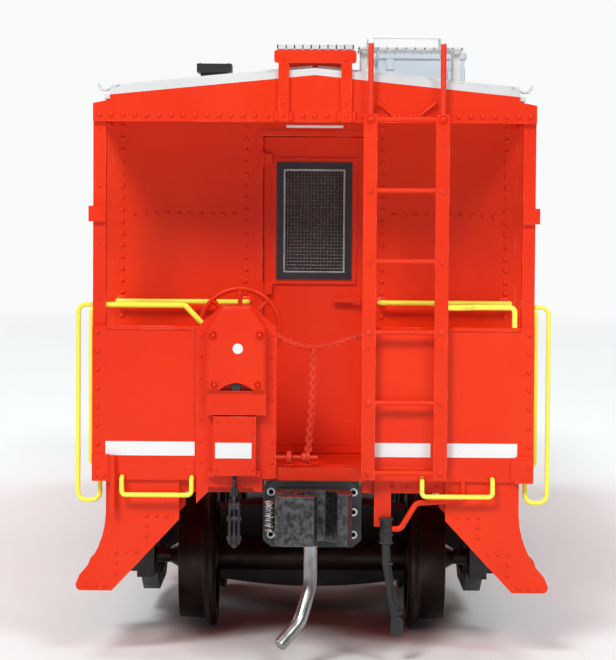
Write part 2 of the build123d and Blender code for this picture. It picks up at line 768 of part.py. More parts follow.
def make_roof_box():
    """Equipment box on the roof, with a lid that stands proud."""
    x = ROOF_HALF_W - BOX_EDGE - BOX_LID_W
    low = EQUIPMENT_TOP - BOX_LID_T
    lid = block(x, x + BOX_LID_W, BOX_Y, BOX_Y + BOX_LID_L, low, EQUIPMENT_TOP)
    body = roof_mounted(x + 0.2, x + BOX_LID_W - 0.2, BOX_Y + 0.2, BOX_LID_L - 0.4, low)
    with BuildPart() as box:
        add(lid)
        fillet(box.edges().filter_by(Axis.Z), 0.6)
        fillet(box.faces().sort_by(Axis.Z)[-1].edges(), 0.3)
        add(body)
    return box.part


def make_smokestack():
    """Square stack with a wider cap and an open flue."""
    x = STACK_EDGE - ROOF_HALF_W
    side = STACK_SIDE
    y = -2.0 - side / 2
    top = EQUIPMENT_TOP
    low = top - STACK_CAP_T
    body = roof_mounted(x + 0.35, x + side - 0.35, y + 0.35, side - 0.7, low)
    cap = block(x, x + side, y, y + side, low, top)
    flue = block(x + 0.8, x + side - 0.8, y + 0.8, y + side - 0.8, low - 1.2, top)
    with BuildPart() as stack:
        add(body)
        add(cap)
        add(flue, mode=Mode.SUBTRACT)
    return stack.part


# --- rails, grab irons and steps ---------------------------------------------------------------
RAIL_Z = 25.04
STRINGER_FACE = HALF_L - SILL_BACK + WEB_T


def make_end_rails():
    """Rails on top of the porch panels: one runs to the brake stand, one to the ladder."""
    post_x = HALF_W - POST
    y = POST / 2 - HALF_L
    stand_x = STAND_X - STAND_W / 2 + STAND_LAP + 0.3
    stand_z = STAND_TOP - SHOULDER_DROP - 0.3
    left = ((-post_x, y, RAIL_Z), (stand_x - 1.7, y, RAIL_Z), (stand_x, y, stand_z),
            (stand_x, -PANEL_FACE, stand_z))
    ladder_x = LADDER_X + LADDER_W / 2
    ladder_y = -(LADDER_BACK + STILE_T / 2)
    panel_y = -(HALF_L + PANEL_FACE) / 2
    right = ((ladder_x, ladder_y, RAIL_Z), (ladder_x + 0.9, ladder_y, RAIL_Z),
             (ladder_x + 1.9, panel_y, RAIL_Z), (post_x - 0.5, panel_y, RAIL_Z),
             (post_x - 0.5, panel_y, PANEL_TOP))
    return joined(wire(left, RAIL_WIRE, 0.4), wire(right, RAIL_WIRE, 0.35))


def make_bulkhead_grabs():
    """Rails on the cabin's end wall, each side of the door."""
    out = -(BULKHEAD_Y + 0.9)
    x0 = DOOR_W / 2 + 1.1
    x1 = INNER_W - 0.45
    route = ((x0, -BULKHEAD_Y, RAIL_Z), (x0, out, RAIL_Z), (x1, out, RAIL_Z),
             (x1, -BULKHEAD_Y, RAIL_Z))
    return side_pair(wire(route, RAIL_WIRE, 0.35))


def make_side_grabs():
    """Upright grab irons each side of the step opening."""
    out = HALF_W + GRAB_OUT
    front_y = POST / 2 - HALF_L
    back_y = 0.8 - BULKHEAD_Y
    hook_x = HALF_W - 0.5
    hook_z = SILL_Z0 - 0.65
    back_z = SILL_Z0 + 0.85
    front = ((HALF_W, front_y, RAIL_Z), (out, front_y, RAIL_Z), (out, front_y, hook_z),
             (hook_x, front_y, hook_z), (hook_x, front_y, FLOOR_Z0))
    back = ((HALF_W, back_y, RAIL_Z - 0.45), (out, back_y, RAIL_Z - 0.45), (out, back_y, back_z),
            (HALF_W, back_y, back_z))
    return side_pair(joined(wire(front, GRAB_WIRE, 0.6), wire(back, GRAB_WIRE, 0.6)))


def make_step_grabs():
    """U-shaped grab irons under the end sill, one over each step."""
    out = -(PANEL_FACE + 0.65)
    top = FLOOR_Z0 + 0.21
    low = SILL_Z0 - 0.1
    grabs = []
    left = (2.15 - HALF_W, STAND_X - STAND_W / 2 - 0.33)
    right = (LADDER_X + 1.3, HALF_W - 2.9)
    for x0, x1 in (left, right):
        route = ((x0, -PANEL_FACE, top), (x0, out, top), (x0, out, low), (x1, out, low),
                 (x1, out, top), (x1, -PANEL_FACE, top))
        grabs.append(wire(route, GRAB_WIRE, 0.3))
    return joined(*grabs)


STRINGER_T = 0.3
STEP_LEVELS = (8.56, 6.17, 3.53)             # floor top down to the treads
STEP_NOSES = (0.75, -1.55, -3.75)            # outer edges of the treads past the body side
TREAD_W = 2.0
TREAD_T = 0.3


def make_step_stringers():
    """Plates at the front and the back of each step well."""
    with BuildPart() as stringers:
        for face in (STRINGER_FACE, BULKHEAD_Y + 0.4):
            with BuildSketch(Plane.XZ.offset(face)):
                add(step_profile())
            extrude(amount=STRINGER_T)
    return side_pair(stringers.part)


def step_profile():
    """The stringer's face as a sketch."""
    top = FLOOR_Z0
    foot = FLOOR_TOP - STEP_DROP
    with BuildSketch(mode=Mode.PRIVATE) as profile:
        with BuildLine():
            Polyline((HALF_W - 0.97, foot + 5.5), (HALF_W - 0.97, top), (STEP_X0, top),
                     (STEP_X0, foot + 5.1), (HALF_W - 1.4, foot), (HALF_W + 0.8, foot))
            ThreePointArc((HALF_W + 0.8, foot), (HALF_W + 1.08, foot + 0.15),
                          (HALF_W + 1.1, foot + 0.6))
            Line((HALF_W + 1.1, foot + 0.6), (HALF_W + 0.9, foot + 1.1))
            ThreePointArc((HALF_W + 0.9, foot + 1.1), (HALF_W - 0.45, foot + 3.15),
                          (HALF_W - 0.97, foot + 5.5))
        make_face()
    return profile.sketch


def make_step_treads():
    """Three treads a side, the upper two with a riser under the outer edge."""
    y0 = -STRINGER_FACE
    y1 = -(BULKHEAD_Y + 0.4 + STRINGER_T)
    treads = []
    for level, nose in zip(STEP_LEVELS, STEP_NOSES):
        top = FLOOR_TOP - level
        outer = HALF_W + nose
        treads.append(block(outer - TREAD_W, outer, y0, y1, top - TREAD_T, top))
        if level < STEP_LEVELS[0]:
            treads.append(block(outer - TREAD_T, outer, y0, y1, top - 1.7, top - TREAD_T))
    return side_pair(joined(*treads))


# --- chains, pipes and hoses of the ends -------------------------------------------------------
CHAIN_D = 0.28
LIFT_CHAIN_D = 0.4
VALVE_ROD_Z = FLOOR_TOP + 0.66
COCK_X = 5.2
COCK_R = 0.42
HOSE_D = 0.6


def make_chains():
    """Safety chain across the gangway, and the lift chain hanging from it to a ring."""
    x0 = STAND_X + STAND_W / 2
    x1 = PANEL_INNER_X
    span = x1 - x0
    high = PANEL_TOP - 0.5
    y0 = -(PANEL_FACE + STAND_FACE) / 2
    y1 = -(HALF_L + PANEL_FACE) / 2
    sag = ((0, 0), (0.19, 0.65), (0.43, 0.9), (0.63, 0.75), (0.85, 0.3), (1, 0))
    route = [(x0 + span * along, y0 + (y1 - y0) * along, high - drop) for along, drop in sag]
    top = Vector(*route[2]) - Vector(0, 0, CHAIN_D / 2)
    ring_z = VALVE_ROD_Z + 0.42
    knee_z = ring_z + 0.44 * (top.Z - ring_z)
    lift = (tuple(top), (top.X - 0.1, top.Y, knee_z), (top.X - 0.35, top.Y + 0.1, ring_z))
    ring_centre = Vector(top.X - 0.35, top.Y + 0.1, VALVE_ROD_Z)
    with BuildPart() as ring:
        with BuildSketch(Plane(origin=ring_centre + Vector(0, 0, 0.36), z_dir=(0, 1, 0))):
            Circle(0.1)
        revolve(axis=Axis(ring_centre, (1, 0, 0)))
    return joined(wire(route, CHAIN_D, 1.5), wire(lift, LIFT_CHAIN_D, 4.0), ring.part)


def make_valve_rod():
    """Short rod beside the brake stand, with its disc valve, through the lift chain's ring."""
    x0 = STAND_X + STAND_W / 2
    y = -(PANEL_FACE + STAND_FACE) / 2
    rod = bar((x0, y, VALVE_ROD_Z), (x0 + 2.9, y, VALVE_ROD_Z), 0.3)
    disc = bar((x0 + 0.7, y, VALVE_ROD_Z), (x0 + 1.1, y, VALVE_ROD_Z), 0.95)
    return joined(rod, disc)


def make_train_pipes():
    """Red pipework: hose bracket, the pipe under the right step, and a corner pipe."""
    face = HALF_L - 0.15
    bracket = block(COCK_X - 0.83, COCK_X + 0.35, -face - 0.3, -face, 9.5, FLOOR_Z0)
    y = -HALF_L - 0.3
    cock_y = -(face + 0.3 + COCK_R)
    elbow_x = COCK_X + COCK_R + 0.6
    pipe_x = HALF_W - 4.95
    route = ((COCK_X + COCK_R, cock_y, 9.4), (elbow_x, cock_y, 9.4), (elbow_x + 1.1, y, 11.2),
             (pipe_x, y, 11.45), (pipe_x, y, FLOOR_Z0))
    corner_x = -HALF_W + 1.5
    corner_y = -PANEL_FACE - 0.2 - 0.21
    corner = bar((corner_x, corner_y, FLOOR_Z0 - 2.14), (corner_x, corner_y, FLOOR_TOP + 0.76), 0.42)
    return joined(bracket, wire(route, 0.4, 0.5), corner)


def make_air_hose():
    """Angle cock, hose and its coupling head."""
    cock_y = -(HALF_L - 0.15 + 0.3 + COCK_R)
    cock = bar((COCK_X, cock_y, 8.4), (COCK_X, cock_y, 10.2), 2 * COCK_R)
    handle = block(COCK_X - 0.15, COCK_X + 0.15, cock_y - 1.0, cock_y, 9.3, 9.55)
    route = ((COCK_X, cock_y, 8.4), (COCK_X + 0.05, cock_y, 7.0), (COCK_X + 0.45, cock_y - 0.2, 4.6),
             (COCK_X + 0.75, cock_y - 0.5, 3.0))
    hose = wire(route, HOSE_D, 3.0)
    with BuildPart() as head:
        with BuildSketch(Plane.XZ.offset(-cock_y + 0.25)):
            with Locations((COCK_X + 0.8, 2.55)):
                RectangleRounded(0.85, 1.3, 0.25)
        extrude(amount=0.55)
    return joined(cock, handle, hose, head.part)


# --- draft gear and couplers -------------------------------------------------------------------
BOX_CLEAR = 0.15          # over and under the shank
BOX_Z0 = COUPLER_Z - SHANK_T / 2 - BOX_CLEAR
LID_T = 0.5
BOSS_R = 0.85
LID_SCREW_R = 0.45
STRIKER_T = 0.5
MOUTH_HALF_W = 2.15


def make_draft_box():
    """Box round the shank, open below and in front, with the pivot boss."""
    back = PIVOT_Y - BOX_BACK
    inner_w = BOX_W - 2 * BOX_WALL
    cavity = SHANK_T + 2 * BOX_CLEAR
    with BuildPart() as box:
        with BuildSketch(Plane.XY.offset(BOX_Z0)):
            with Locations((0, -(back + PANEL_FACE) / 2)):
                Rectangle(BOX_W, PANEL_FACE - back)
        extrude(amount=FLOOR_Z0 - BOX_Z0)
        with BuildSketch(Plane.XY.offset(BOX_Z0)):
            with Locations((0, -(back + BOX_WALL + PANEL_FACE) / 2)):
                Rectangle(inner_w, PANEL_FACE - back - BOX_WALL)
            with Locations((0, -PIVOT_Y)):
                Circle(BOSS_R, mode=Mode.SUBTRACT)
        extrude(amount=cavity, mode=Mode.SUBTRACT)
        with BuildSketch(Plane.XY.offset(BOX_Z0)):
            with Locations((0, -PIVOT_Y)):
                Circle(LID_SCREW_R + GAP)
        extrude(amount=cavity + 0.6, mode=Mode.SUBTRACT)
    return box.part


def make_draft_lid():
    """Plate under the draft box."""
    back = PIVOT_Y - BOX_BACK
    with BuildPart() as lid:
        with BuildSketch(Plane.XY.offset(BOX_Z0 - LID_T)):
            with Locations((0, -(back + PANEL_FACE) / 2)):
                Rectangle(BOX_W, PANEL_FACE - back)
            with Locations((0, -PIVOT_Y)):
                Circle(LID_SCREW_R + GAP, mode=Mode.SUBTRACT)
        extrude(amount=LID_T)
    return lid.part


def make_striker():
    """Striker casting round the mouth of the draft box, with a bolted cap."""
    half = STRIKER_W / 2
    low = COUPLER_Z - 2.45
    high = FLOOR_Z0 + STRIKER_LAP
    mouth = SHANK_T / 2 + 0.35
    with BuildPart() as striker:
        with BuildSketch(Plane.XZ.offset(PANEL_FACE)):
            with BuildLine():
                Polyline((-half, low + 0.5), (-half + 0.6, low), (half - 0.6, low), (half, low + 0.5),
                         (half, high - 0.8), (half - 0.7, high), (-half + 0.7, high),
                         (-half, high - 0.8), close=True)
            make_face()
            with Locations((0, COUPLER_Z)):
                Rectangle(2 * MOUTH_HALF_W, 2 * mouth, mode=Mode.SUBTRACT)
        extrude(amount=STRIKER_T)
        with BuildSketch(Plane.XZ.offset(PANEL_FACE + STRIKER_T)):
            with Locations((0, high - 0.55)):
                Rectangle(STRIKER_W - 2.2, 0.6)
        extrude(amount=0.25)
    return striker.part


HEAD_HALF_H = 1.75
KNUCKLE_X = -1.65
KNUCKLE_OUT = 3.75        # knuckle pin to the post face
HUB_HALF_H = 1.25
PIN_R = 0.3


def plan(points):
    """Points given as x and distance out from the post face, in the plan of the -Y end."""
    return [(x, -HALF_L - out) for x, out in points]


def make_coupler_head():
    """Shank with its pivot eye, the head with its guard arm, the knuckle's ears and its pin."""
    pin = plan(((KNUCKLE_X, KNUCKLE_OUT),))[0]
    back = -PIVOT_Y
    with BuildPart() as head:
        with BuildSketch(Plane.XY.offset(COUPLER_Z - SHANK_T / 2)):
            with Locations((0, back)):
                Circle(BOSS_R + 0.75)
            with Locations((0, back - (COUPLER_PIVOT + 1.6) / 2)):
                Rectangle(SHANK_W, COUPLER_PIVOT + 1.6)
            with Locations((0, back)):
                Circle(BOSS_R + RUNNING_GAP, mode=Mode.SUBTRACT)
        extrude(amount=SHANK_T)
        with BuildSketch(Plane.XY.offset(COUPLER_Z - HEAD_HALF_H)):
            with BuildLine():
                Polyline(*plan(((-2.6, 2.75), (-2.6, 1.65), (-0.9, 1.4), (0.9, 1.4), (2.2, 1.65),
                                (2.75, 2.4), (2.75, 4.6), (2.4, 5.3), (1.75, 5.0), (1.7, 3.6),
                                (0.9, 2.75))), close=True)
            make_face()
        extrude(amount=2 * HEAD_HALF_H)
        for z in (COUPLER_Z - HEAD_HALF_H, COUPLER_Z + HUB_HALF_H + GAP):
            with BuildSketch(Plane.XY.offset(z)):
                with Locations(pin):
                    Circle(0.9)
                with Locations((pin[0], pin[1] + KNUCKLE_OUT / 2 - 1.0)):
                    Rectangle(1.8, KNUCKLE_OUT - 2.0)
            extrude(amount=HEAD_HALF_H - HUB_HALF_H - GAP)
        with BuildSketch(Plane.XY.offset(COUPLER_Z - HEAD_HALF_H)):
            with Locations(pin):
                Circle(PIN_R)
        extrude(amount=2 * HEAD_HALF_H + 0.12)
    return head.part


def make_knuckle():
    """Hub on the pin and the hooked nose."""
    pin = plan(((KNUCKLE_X, KNUCKLE_OUT),))[0]
    with BuildPart() as knuckle:
        with BuildSketch(Plane.XY.offset(COUPLER_Z - HUB_HALF_H)):
            with Locations(pin):
                Circle(0.85)
            with BuildLine():
                Polyline(*plan(((-2.5, 3.75), (-2.5, 5.4), (-0.75, 5.4), (-0.8, 3.75))), close=True)
            make_face()
            with Locations(pin):
                Circle(PIN_R + 0.06, mode=Mode.SUBTRACT)
        extrude(amount=2 * HUB_HALF_H)
        with BuildSketch(Plane.XY.offset(COUPLER_Z - HEAD_HALF_H + 0.05)):
            with BuildLine():
                Polyline(*plan(((-2.55, 4.85), (-2.55, 5.5), (-1.95, COUPLER_REACH),
                                (0.1, COUPLER_REACH), (0.35, 5.7),
                                (0.0, 5.15), (-0.75, 4.85))), close=True)
            make_face()
        extrude(amount=2 * HEAD_HALF_H - 0.1)
    return knuckle.part


TRIP_PIN_D = 0.95


def make_trip_pin():
    """Uncoupling pin: down from the head, then curving to one side and outwards."""
    x, y = plan(((-0.1, 2.1),))[0]
    route = ((x, y, COUPLER_Z - HEAD_HALF_H), (x, y, 5.6), (x - 0.7, y - 1.0, 3.2),
             (x - 2.1, y - 2.2, 1.75))
    return wire(route, TRIP_PIN_D, 2.2)


def make_knuckle_spring():
    """Small upright coil beside the head, as a ribbed column."""
    x, y = plan(((-2.95, 2.1),))[0]
    rib = 0.35
    ribs = 5
    with BuildPart() as spring:
        with BuildSketch(Plane.XY.offset(COUPLER_Z - ribs * rib / 2)):
            with Locations((x, y)):
                Circle(0.2)
        extrude(amount=ribs * rib)
        for index in range(ribs):
            z = COUPLER_Z + (index - (ribs - 1) / 2) * rib
            with BuildSketch(Plane.XY.offset(z - rib * 0.3)):
                with Locations((x, y)):
                    Circle(0.33)
            extrude(amount=rib * 0.6)
    return spring.part


# --- trucks ------------------------------------------------------------------------------------
BOLSTER_HALF = 2.4        # half its length along the car
SCREW_HEAD_R = 1.75
SCREW_HEAD_T = 0.8
SCREW_HEAD_Z = 4.1
SPRING_Z0 = 3.0
SPRING_Z1 = 6.2
LID_PROUD = 0.55          # journal lids in front of the side frame


def make_truck_bolster():
    """Fish-bellied bolster between the side frames, with its kingpin hole."""
    with BuildPart() as bolster:
        with BuildSketch(Plane.XZ):
            with BuildLine():
                Polyline((-7.5, 2.6), (-FRAME_X0, 5.4), (-FRAME_X0, 7.4), (-4.5, BOLSTER_TOP),
                         (4.5, BOLSTER_TOP), (FRAME_X0, 7.4), (FRAME_X0, 5.4), (7.5, 2.6))
                ThreePointArc((7.5, 2.6), (0, 1.95), (-7.5, 2.6))
            make_face()
        extrude(amount=BOLSTER_HALF, both=True)
        with BuildSketch(Plane.XY):
            Circle(KINGPIN_R + RUNNING_GAP)
        extrude(amount=BOLSTER_TOP, mode=Mode.SUBTRACT)
        with BuildSketch(Plane.XY):
            Circle(SCREW_HEAD_R + 0.25)
        extrude(amount=SCREW_HEAD_Z + SCREW_HEAD_T + 0.1, mode=Mode.SUBTRACT)
    return bolster.part


def make_side_frame():
    """The +X side frame: cast arches, spring window, journal boxes with cups for the axles."""
    half = WHEELBASE / 2
    tip = half + 1.6
    with BuildPart() as frame:
        with BuildSketch(Plane.YZ.offset(FRAME_X0)):
            with BuildLine():
                Polyline((-tip, 3.9), (-tip, 6.7), (1.4 - half, 7.0), (-3.6, 8.2), (3.6, 8.2),
                         (half - 1.4, 7.0), (tip, 6.7), (tip, 3.9), (half - 1.7, 3.9), (3.9, 1.9),
                         (-3.9, 1.9), (1.7 - half, 3.9), close=True)
            make_face()
            with Locations((0, (SPRING_Z0 + SPRING_Z1) / 2)):
                Rectangle(5.8, SPRING_Z1 - SPRING_Z0, mode=Mode.SUBTRACT)
            for side in (-1, 1):
                with BuildLine():
                    Polyline((side * 4.1, 3.5), (side * 4.1, 6.6), (side * (half - 2.0), 5.9),
                             (side * (half - 2.0), 4.7), close=True)
                make_face(mode=Mode.SUBTRACT)
        extrude(amount=SIDE_FRAME_T - LID_PROUD)
        with BuildSketch(Plane.YZ.offset(TRUCK_W / 2 - LID_PROUD)):
            with Locations((-half, AXLE_Z), (half, AXLE_Z)):
                RectangleRounded(2.3, 2.4, 0.4)
        extrude(amount=LID_PROUD)
        for y in (-half, half):
            with BuildSketch(Plane(origin=(FRAME_X0, y, AXLE_Z), z_dir=(1, 0, 0))):
                Circle(JOURNAL_R)
            with BuildSketch(Plane(origin=(FRAME_X0 + 1.05, y, AXLE_Z), z_dir=(1, 0, 0))):
                Circle(0.08)
            loft(mode=Mode.SUBTRACT)
    return frame.part


def make_truck_rigging():
    """Three springs in each side frame, and the two brake beams with their shoes."""
    x = FRAME_X0 + (SIDE_FRAME_T - LID_PROUD) / 2
    coils = 6
    pitch = (SPRING_Z1 - SPRING_Z0) / coils
    with BuildPart() as springs:
        with BuildSketch(Plane.XY.offset(SPRING_Z0)):
            with Locations((x, -1.8), (x, 0), (x, 1.8)):
                Circle(0.45)
        extrude(amount=SPRING_Z1 - SPRING_Z0)
        for index in range(coils):
            with BuildSketch(Plane.XY.offset(SPRING_Z0 + (index + 0.2) * pitch)):
                with Locations((x, -1.8), (x, 0), (x, 1.8)):
                    Circle(0.62)
            extrude(amount=pitch * 0.6)
    beam_y = WHEELBASE / 2 - TREAD_R - 1.2
    shoe_x = BACK_TO_BACK / 2 + FLANGE_W + 1.1
    shoe_y = beam_y + 0.3
    beam = block(-shoe_x, shoe_x, beam_y - 0.3, beam_y + 0.3, 4.9, 5.5)
    struts = [block(x - 0.4, x + 0.4, BOLSTER_HALF, beam_y - 0.3, 4.9, 5.5) for x in (-3.5, 3.5)]
    shoes = [block(x - 0.7, x + 0.7, shoe_y, shoe_y + 0.5, 4.2, 6.6) for x in (-shoe_x, shoe_x)]
    rig = joined(beam, *struts, *shoes)
    return joined(side_pair(springs.part), rig, rig.rotate(Axis.Z, 180))


def make_wheelset():
    """Axle with pointed ends, and two flanged wheels pressed on it."""
    inner = BACK_TO_BACK / 2
    outer = inner + WHEEL_W
    tip = AXLE_LENGTH / 2
    with BuildPart() as wheels:
        with BuildSketch(Plane.XZ):
            with BuildLine():
                Polyline((inner, AXLE_R), (inner, 1.9), (inner + 0.9, 2.1), (inner + 0.7, 3.9),
                         (inner, 4.2), (inner, FLANGE_R - 0.3), (inner + 0.25, FLANGE_R),
                         (inner + 0.5, FLANGE_R - 0.1), (inner + FLANGE_W, TREAD_R + 0.15),
                         (inner + FLANGE_W + 0.2, TREAD_R), (outer, TREAD_R - 0.08), (outer, 4.15),
                         (outer - 0.8, 3.9), (outer - 1.1, 2.1), (outer - 0.3, 1.9),
                         (outer - 0.3, AXLE_R), close=True)
            make_face()
        revolve(axis=Axis.X)
    with BuildPart() as axle:
        with BuildSketch(Plane.XZ):
            with BuildLine():
                Polyline((-tip, 0), (0.9 - tip, JOURNAL_R - 0.15), (2.0 - tip, JOURNAL_R - 0.15),
                         (-outer + 0.1, AXLE_R), (outer - 0.1, AXLE_R),
                         (tip - 2.0, JOURNAL_R - 0.15), (tip - 0.9, JOURNAL_R - 0.15), (tip, 0),
                         close=True)
            make_face()
        revolve(axis=Axis.X)
    return Compound([*side_pair(wheels.part).solids(), axle.part.solid()])


# --- underside and inside ----------------------------------------------------------------------
BALLAST_T = 2.5


def screw(x, y, z, head_r, head_t, shank_r, length):
    """Round-headed screw pointing up, the underside of its head at z."""
    with BuildPart() as fastener:
        with BuildSketch(Plane.XY.offset(z - head_t)):
            with Locations((x, y)):
                Circle(head_r)
        extrude(amount=head_t)
        chamfer(fastener.faces().sort_by(Axis.Z)[0].edges(), 0.15)
        with BuildSketch(Plane.XY.offset(z)):
            with Locations((x, y)):
                Circle(shank_r)
        extrude(amount=length)
        with BuildSketch(Plane.XY.offset(z - head_t)):
            with Locations((x, y)):
                Rectangle(2 * head_r, 0.3)
        extrude(amount=0.25, mode=Mode.SUBTRACT)
    return fastener.part


def make_underbody_screws():
    """Kingpin screws, draft lid screws and body screws of the -Y half."""
    kingpin = screw(0, -TRUCK_Y, SCREW_HEAD_Z + SCREW_HEAD_T, SCREW_HEAD_R, SCREW_HEAD_T, KINGPIN_R,
                    FLOOR_Z0 - 1.2 - SCREW_HEAD_Z - SCREW_HEAD_T)
    lid = screw(0, -PIVOT_Y, BOX_Z0 - LID_T, 0.9, 0.4, LID_SCREW_R, SHANK_T + LID_T + 0.5)
    body = screw(0, -BODY_SCREW_Y, CENTER_SILL_Z0, 1.4, 0.5, BODY_SCREW_R,
                 FLOOR_TOP + BALLAST_T - 0.3 - CENTER_SILL_Z0)
    return joined(kingpin, lid, body)


def make_ballast():
    """Steel weight on the floor inside the cabin, tapped for the body screws."""
    with BuildPart() as ballast:
        with BuildSketch(Plane.XY.offset(FLOOR_TOP)):
            Rectangle(2 * (INNER_W - 4), 2 * (BULKHEAD_Y - 11))
            with Locations((0, BODY_SCREW_Y), (0, -BODY_SCREW_Y)):
                Circle(BODY_SCREW_R, mode=Mode.SUBTRACT)
        extrude(amount=BALLAST_T)
    return ballast.part


TOOL_BOX_W = 4.2
TOOL_BOX_INNER = INNER_W - 0.6 - TOOL_BOX_W
RESERVOIR_R = 2.2
CYLINDER_R = 1.9


def gear_x(radius, share):
    """Middle of a round piece in the space between the centre sill and the tool boxes."""
    free = TOOL_BOX_INNER - SILL_HALF_W - 2 * radius
    return SILL_HALF_W + radius + share * free


def make_air_brake_gear():
    """Reservoir, brake cylinder with its rod, and control valve under the floor."""
    reservoir_x = gear_x(RESERVOIR_R, 0.676)
    cylinder_x = -gear_x(CYLINDER_R, 0.458)
    with BuildPart() as reservoir:
        with BuildSketch(Plane.XZ.offset(-3)):
            with Locations((reservoir_x, FLOOR_Z0 - 0.5 - RESERVOIR_R)):
                Circle(RESERVOIR_R)
        extrude(amount=15)
        fillet(reservoir.edges().filter_by(GeomType.CIRCLE), 0.7)
        with BuildSketch(Plane.XZ.offset(-3)):
            with Locations((reservoir_x, FLOOR_Z0 - 0.4)):
                Rectangle(1.6, 0.8)
        extrude(amount=15)
    with BuildPart() as cylinder:
        with BuildSketch(Plane.XZ.offset(-13)):
            with Locations((cylinder_x, FLOOR_Z0 - 0.5 - CYLINDER_R)):
                Circle(CYLINDER_R)
        extrude(amount=8)
        fillet(cylinder.edges().filter_by(GeomType.CIRCLE), 0.4)
        with BuildSketch(Plane.XZ.offset(-5)):
            with Locations((cylinder_x, FLOOR_Z0 - 0.5 - CYLINDER_R)):
                Circle(0.4)
        extrude(amount=6)
        with BuildSketch(Plane.XZ.offset(-12)):
            with Locations((cylinder_x, FLOOR_Z0 - 0.4)):
                Rectangle(1.4, 0.8)
        extrude(amount=6)
    with BuildPart() as valve:
        with BuildSketch(Plane.XY.offset(FLOOR_Z0 - 3.0)):
            with Locations((cylinder_x, -7.5)):
                RectangleRounded(2.6, 3.4, 0.5)
        extrude(amount=3.0)
    return joined(reservoir.part, cylinder.part, valve.part)


def make_tool_boxes():
    """Equipment boxes hung along both sides of the underframe."""
    with BuildPart() as box:
        with BuildSketch(Plane.XY.offset(FLOOR_Z0 - 4.6)):
            with Locations((TOOL_BOX_INNER + TOOL_BOX_W / 2, 0)):
                RectangleRounded(TOOL_BOX_W, 17, 0.3)
        extrude(amount=4.6)
    return side_pair(box.part)


# --- write every node --------------------------------------------------------------------------
os.makedirs("parts", exist_ok=True)

save(make_floor(), "floor_plate")
save(make_center_sill(), "center_sill")
save_both_ends(make_end_sill(), "end_sills")
save_both_ends(make_gussets(), "sill_gussets")
save(side_pair(make_side()), "body_sides")
save(side_pair(make_bay()), "bay_boxes")
save(make_window_set(-0.15, 0.25, GASKET, True), "window_glazing")
save_both_ends(make_bulkhead(), "end_bulkheads")
save_both_ends(make_door(), "doors")
save_both_ends(make_door_casing(), "door_casings")
DOOR_GASKET = pane_ring(PANE_GASKET, 0, BULKHEAD_Y - DOOR_SET, 0.3)
WINDOW_GASKETS = make_window_set(0.1, SIDE_T + 0.1, 0, False)
save(joined(WINDOW_GASKETS, DOOR_GASKET, DOOR_GASKET.rotate(Axis.Z, 180)), "window_gaskets")
DOOR_SCREEN = block(-PANE_W / 2, PANE_W / 2, DOOR_SET + DOOR_T - BULKHEAD_Y - 0.15,
                    DOOR_SET + DOOR_T - BULKHEAD_Y, PANE_Z0, PANE_Z1)
save_both_ends(DOOR_SCREEN, "door_screens")
save_both_ends(make_door_handle(), "door_handles")
save(make_roof(), "roof")
save(side_pair(make_gutter()), "eave_gutters")
save_both_ends(make_end_header(), "end_headers")
save_both_ends(make_side_headers(), "side_headers")
save_both_ends(make_posts(), "corner_posts")
save_both_ends(make_panels(), "end_panels")
save_both_ends(make_marker_brackets(), "marker_brackets")
save_both_ends(make_brake_stand(), "brake_stands")
save_both_ends(make_brake_housing(), "brake_housings")
save_both_ends(make_brake_pendant(), "brake_pendants")
save_each_end(make_handwheel(), "handwheel")
save_both_ends(make_ladder(), "ladders")
save_both_ends(make_ladder_hoops(), "ladder_hoops")
save(make_running_board(), "running_board")
WALK_BRACKET = make_walk_bracket()
save(joined(make_walk_saddles(), WALK_BRACKET, WALK_BRACKET.rotate(Axis.Z, 180)), "walk_supports")
save_both_ends(make_lateral_platform(), "lateral_platforms")
save(make_roof_box(), "roof_box")
save(make_smokestack(), "smokestack")
save_both_ends(joined(make_end_rails(), make_bulkhead_grabs()), "platform_rails")
save_both_ends(joined(make_side_grabs(), make_step_grabs()), "grab_irons")
save_both_ends(make_step_stringers(), "step_stringers")
save_both_ends(make_step_treads(), "step_treads")
save_both_ends(joined(make_chains(), make_valve_rod()), "safety_chains")
save_both_ends(make_train_pipes(), "train_pipes")
save_both_ends(make_air_hose(), "air_hoses")
save_both_ends(make_draft_box(), "draft_boxes")
save_both_ends(make_draft_lid(), "draft_lids")
save_both_ends(make_striker(), "striker_plates")
save_both_ends(make_underbody_screws(), "underbody_screws")
save(make_ballast(), "ballast_weight")
save(make_air_brake_gear(), "air_brake_gear")
save(make_tool_boxes(), "tool_boxes")

BOLSTER = make_truck_bolster()
SIDE_FRAMES = side_pair(make_side_frame())
RIGGING = make_truck_rigging()
WHEELSET = make_wheelset()
for end, truck_y in (("a", -TRUCK_Y), ("b", TRUCK_Y)):
    save(joined(BOLSTER.moved(Location((0, truck_y, 0))), RIGGING.moved(Location((0, truck_y, 0)))),
         f"truck_frame_{end}")
    save(SIDE_FRAMES.moved(Location((0, truck_y, 0))), f"side_frames_{end}")
    for axle, offset in (("outer", -WHEELBASE / 2), ("inner", WHEELBASE / 2)):
        if end == "b":
            offset = -offset
        place = Location((0, truck_y + offset, AXLE_Z))
        save(WHEELSET.moved(place), f"wheelset_{end}_{axle}")

save_each_end(make_coupler_head(), "coupler_head")
save_each_end(make_knuckle(), "coupler_knuckle")
save_each_end(joined(make_trip_pin(), make_knuckle_spring()), "trip_pin_and_spring")
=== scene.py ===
"""Looks of the model caboose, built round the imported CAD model. Lengths in metres."""
import json
import math

import bpy
from mathutils import Matrix, Vector


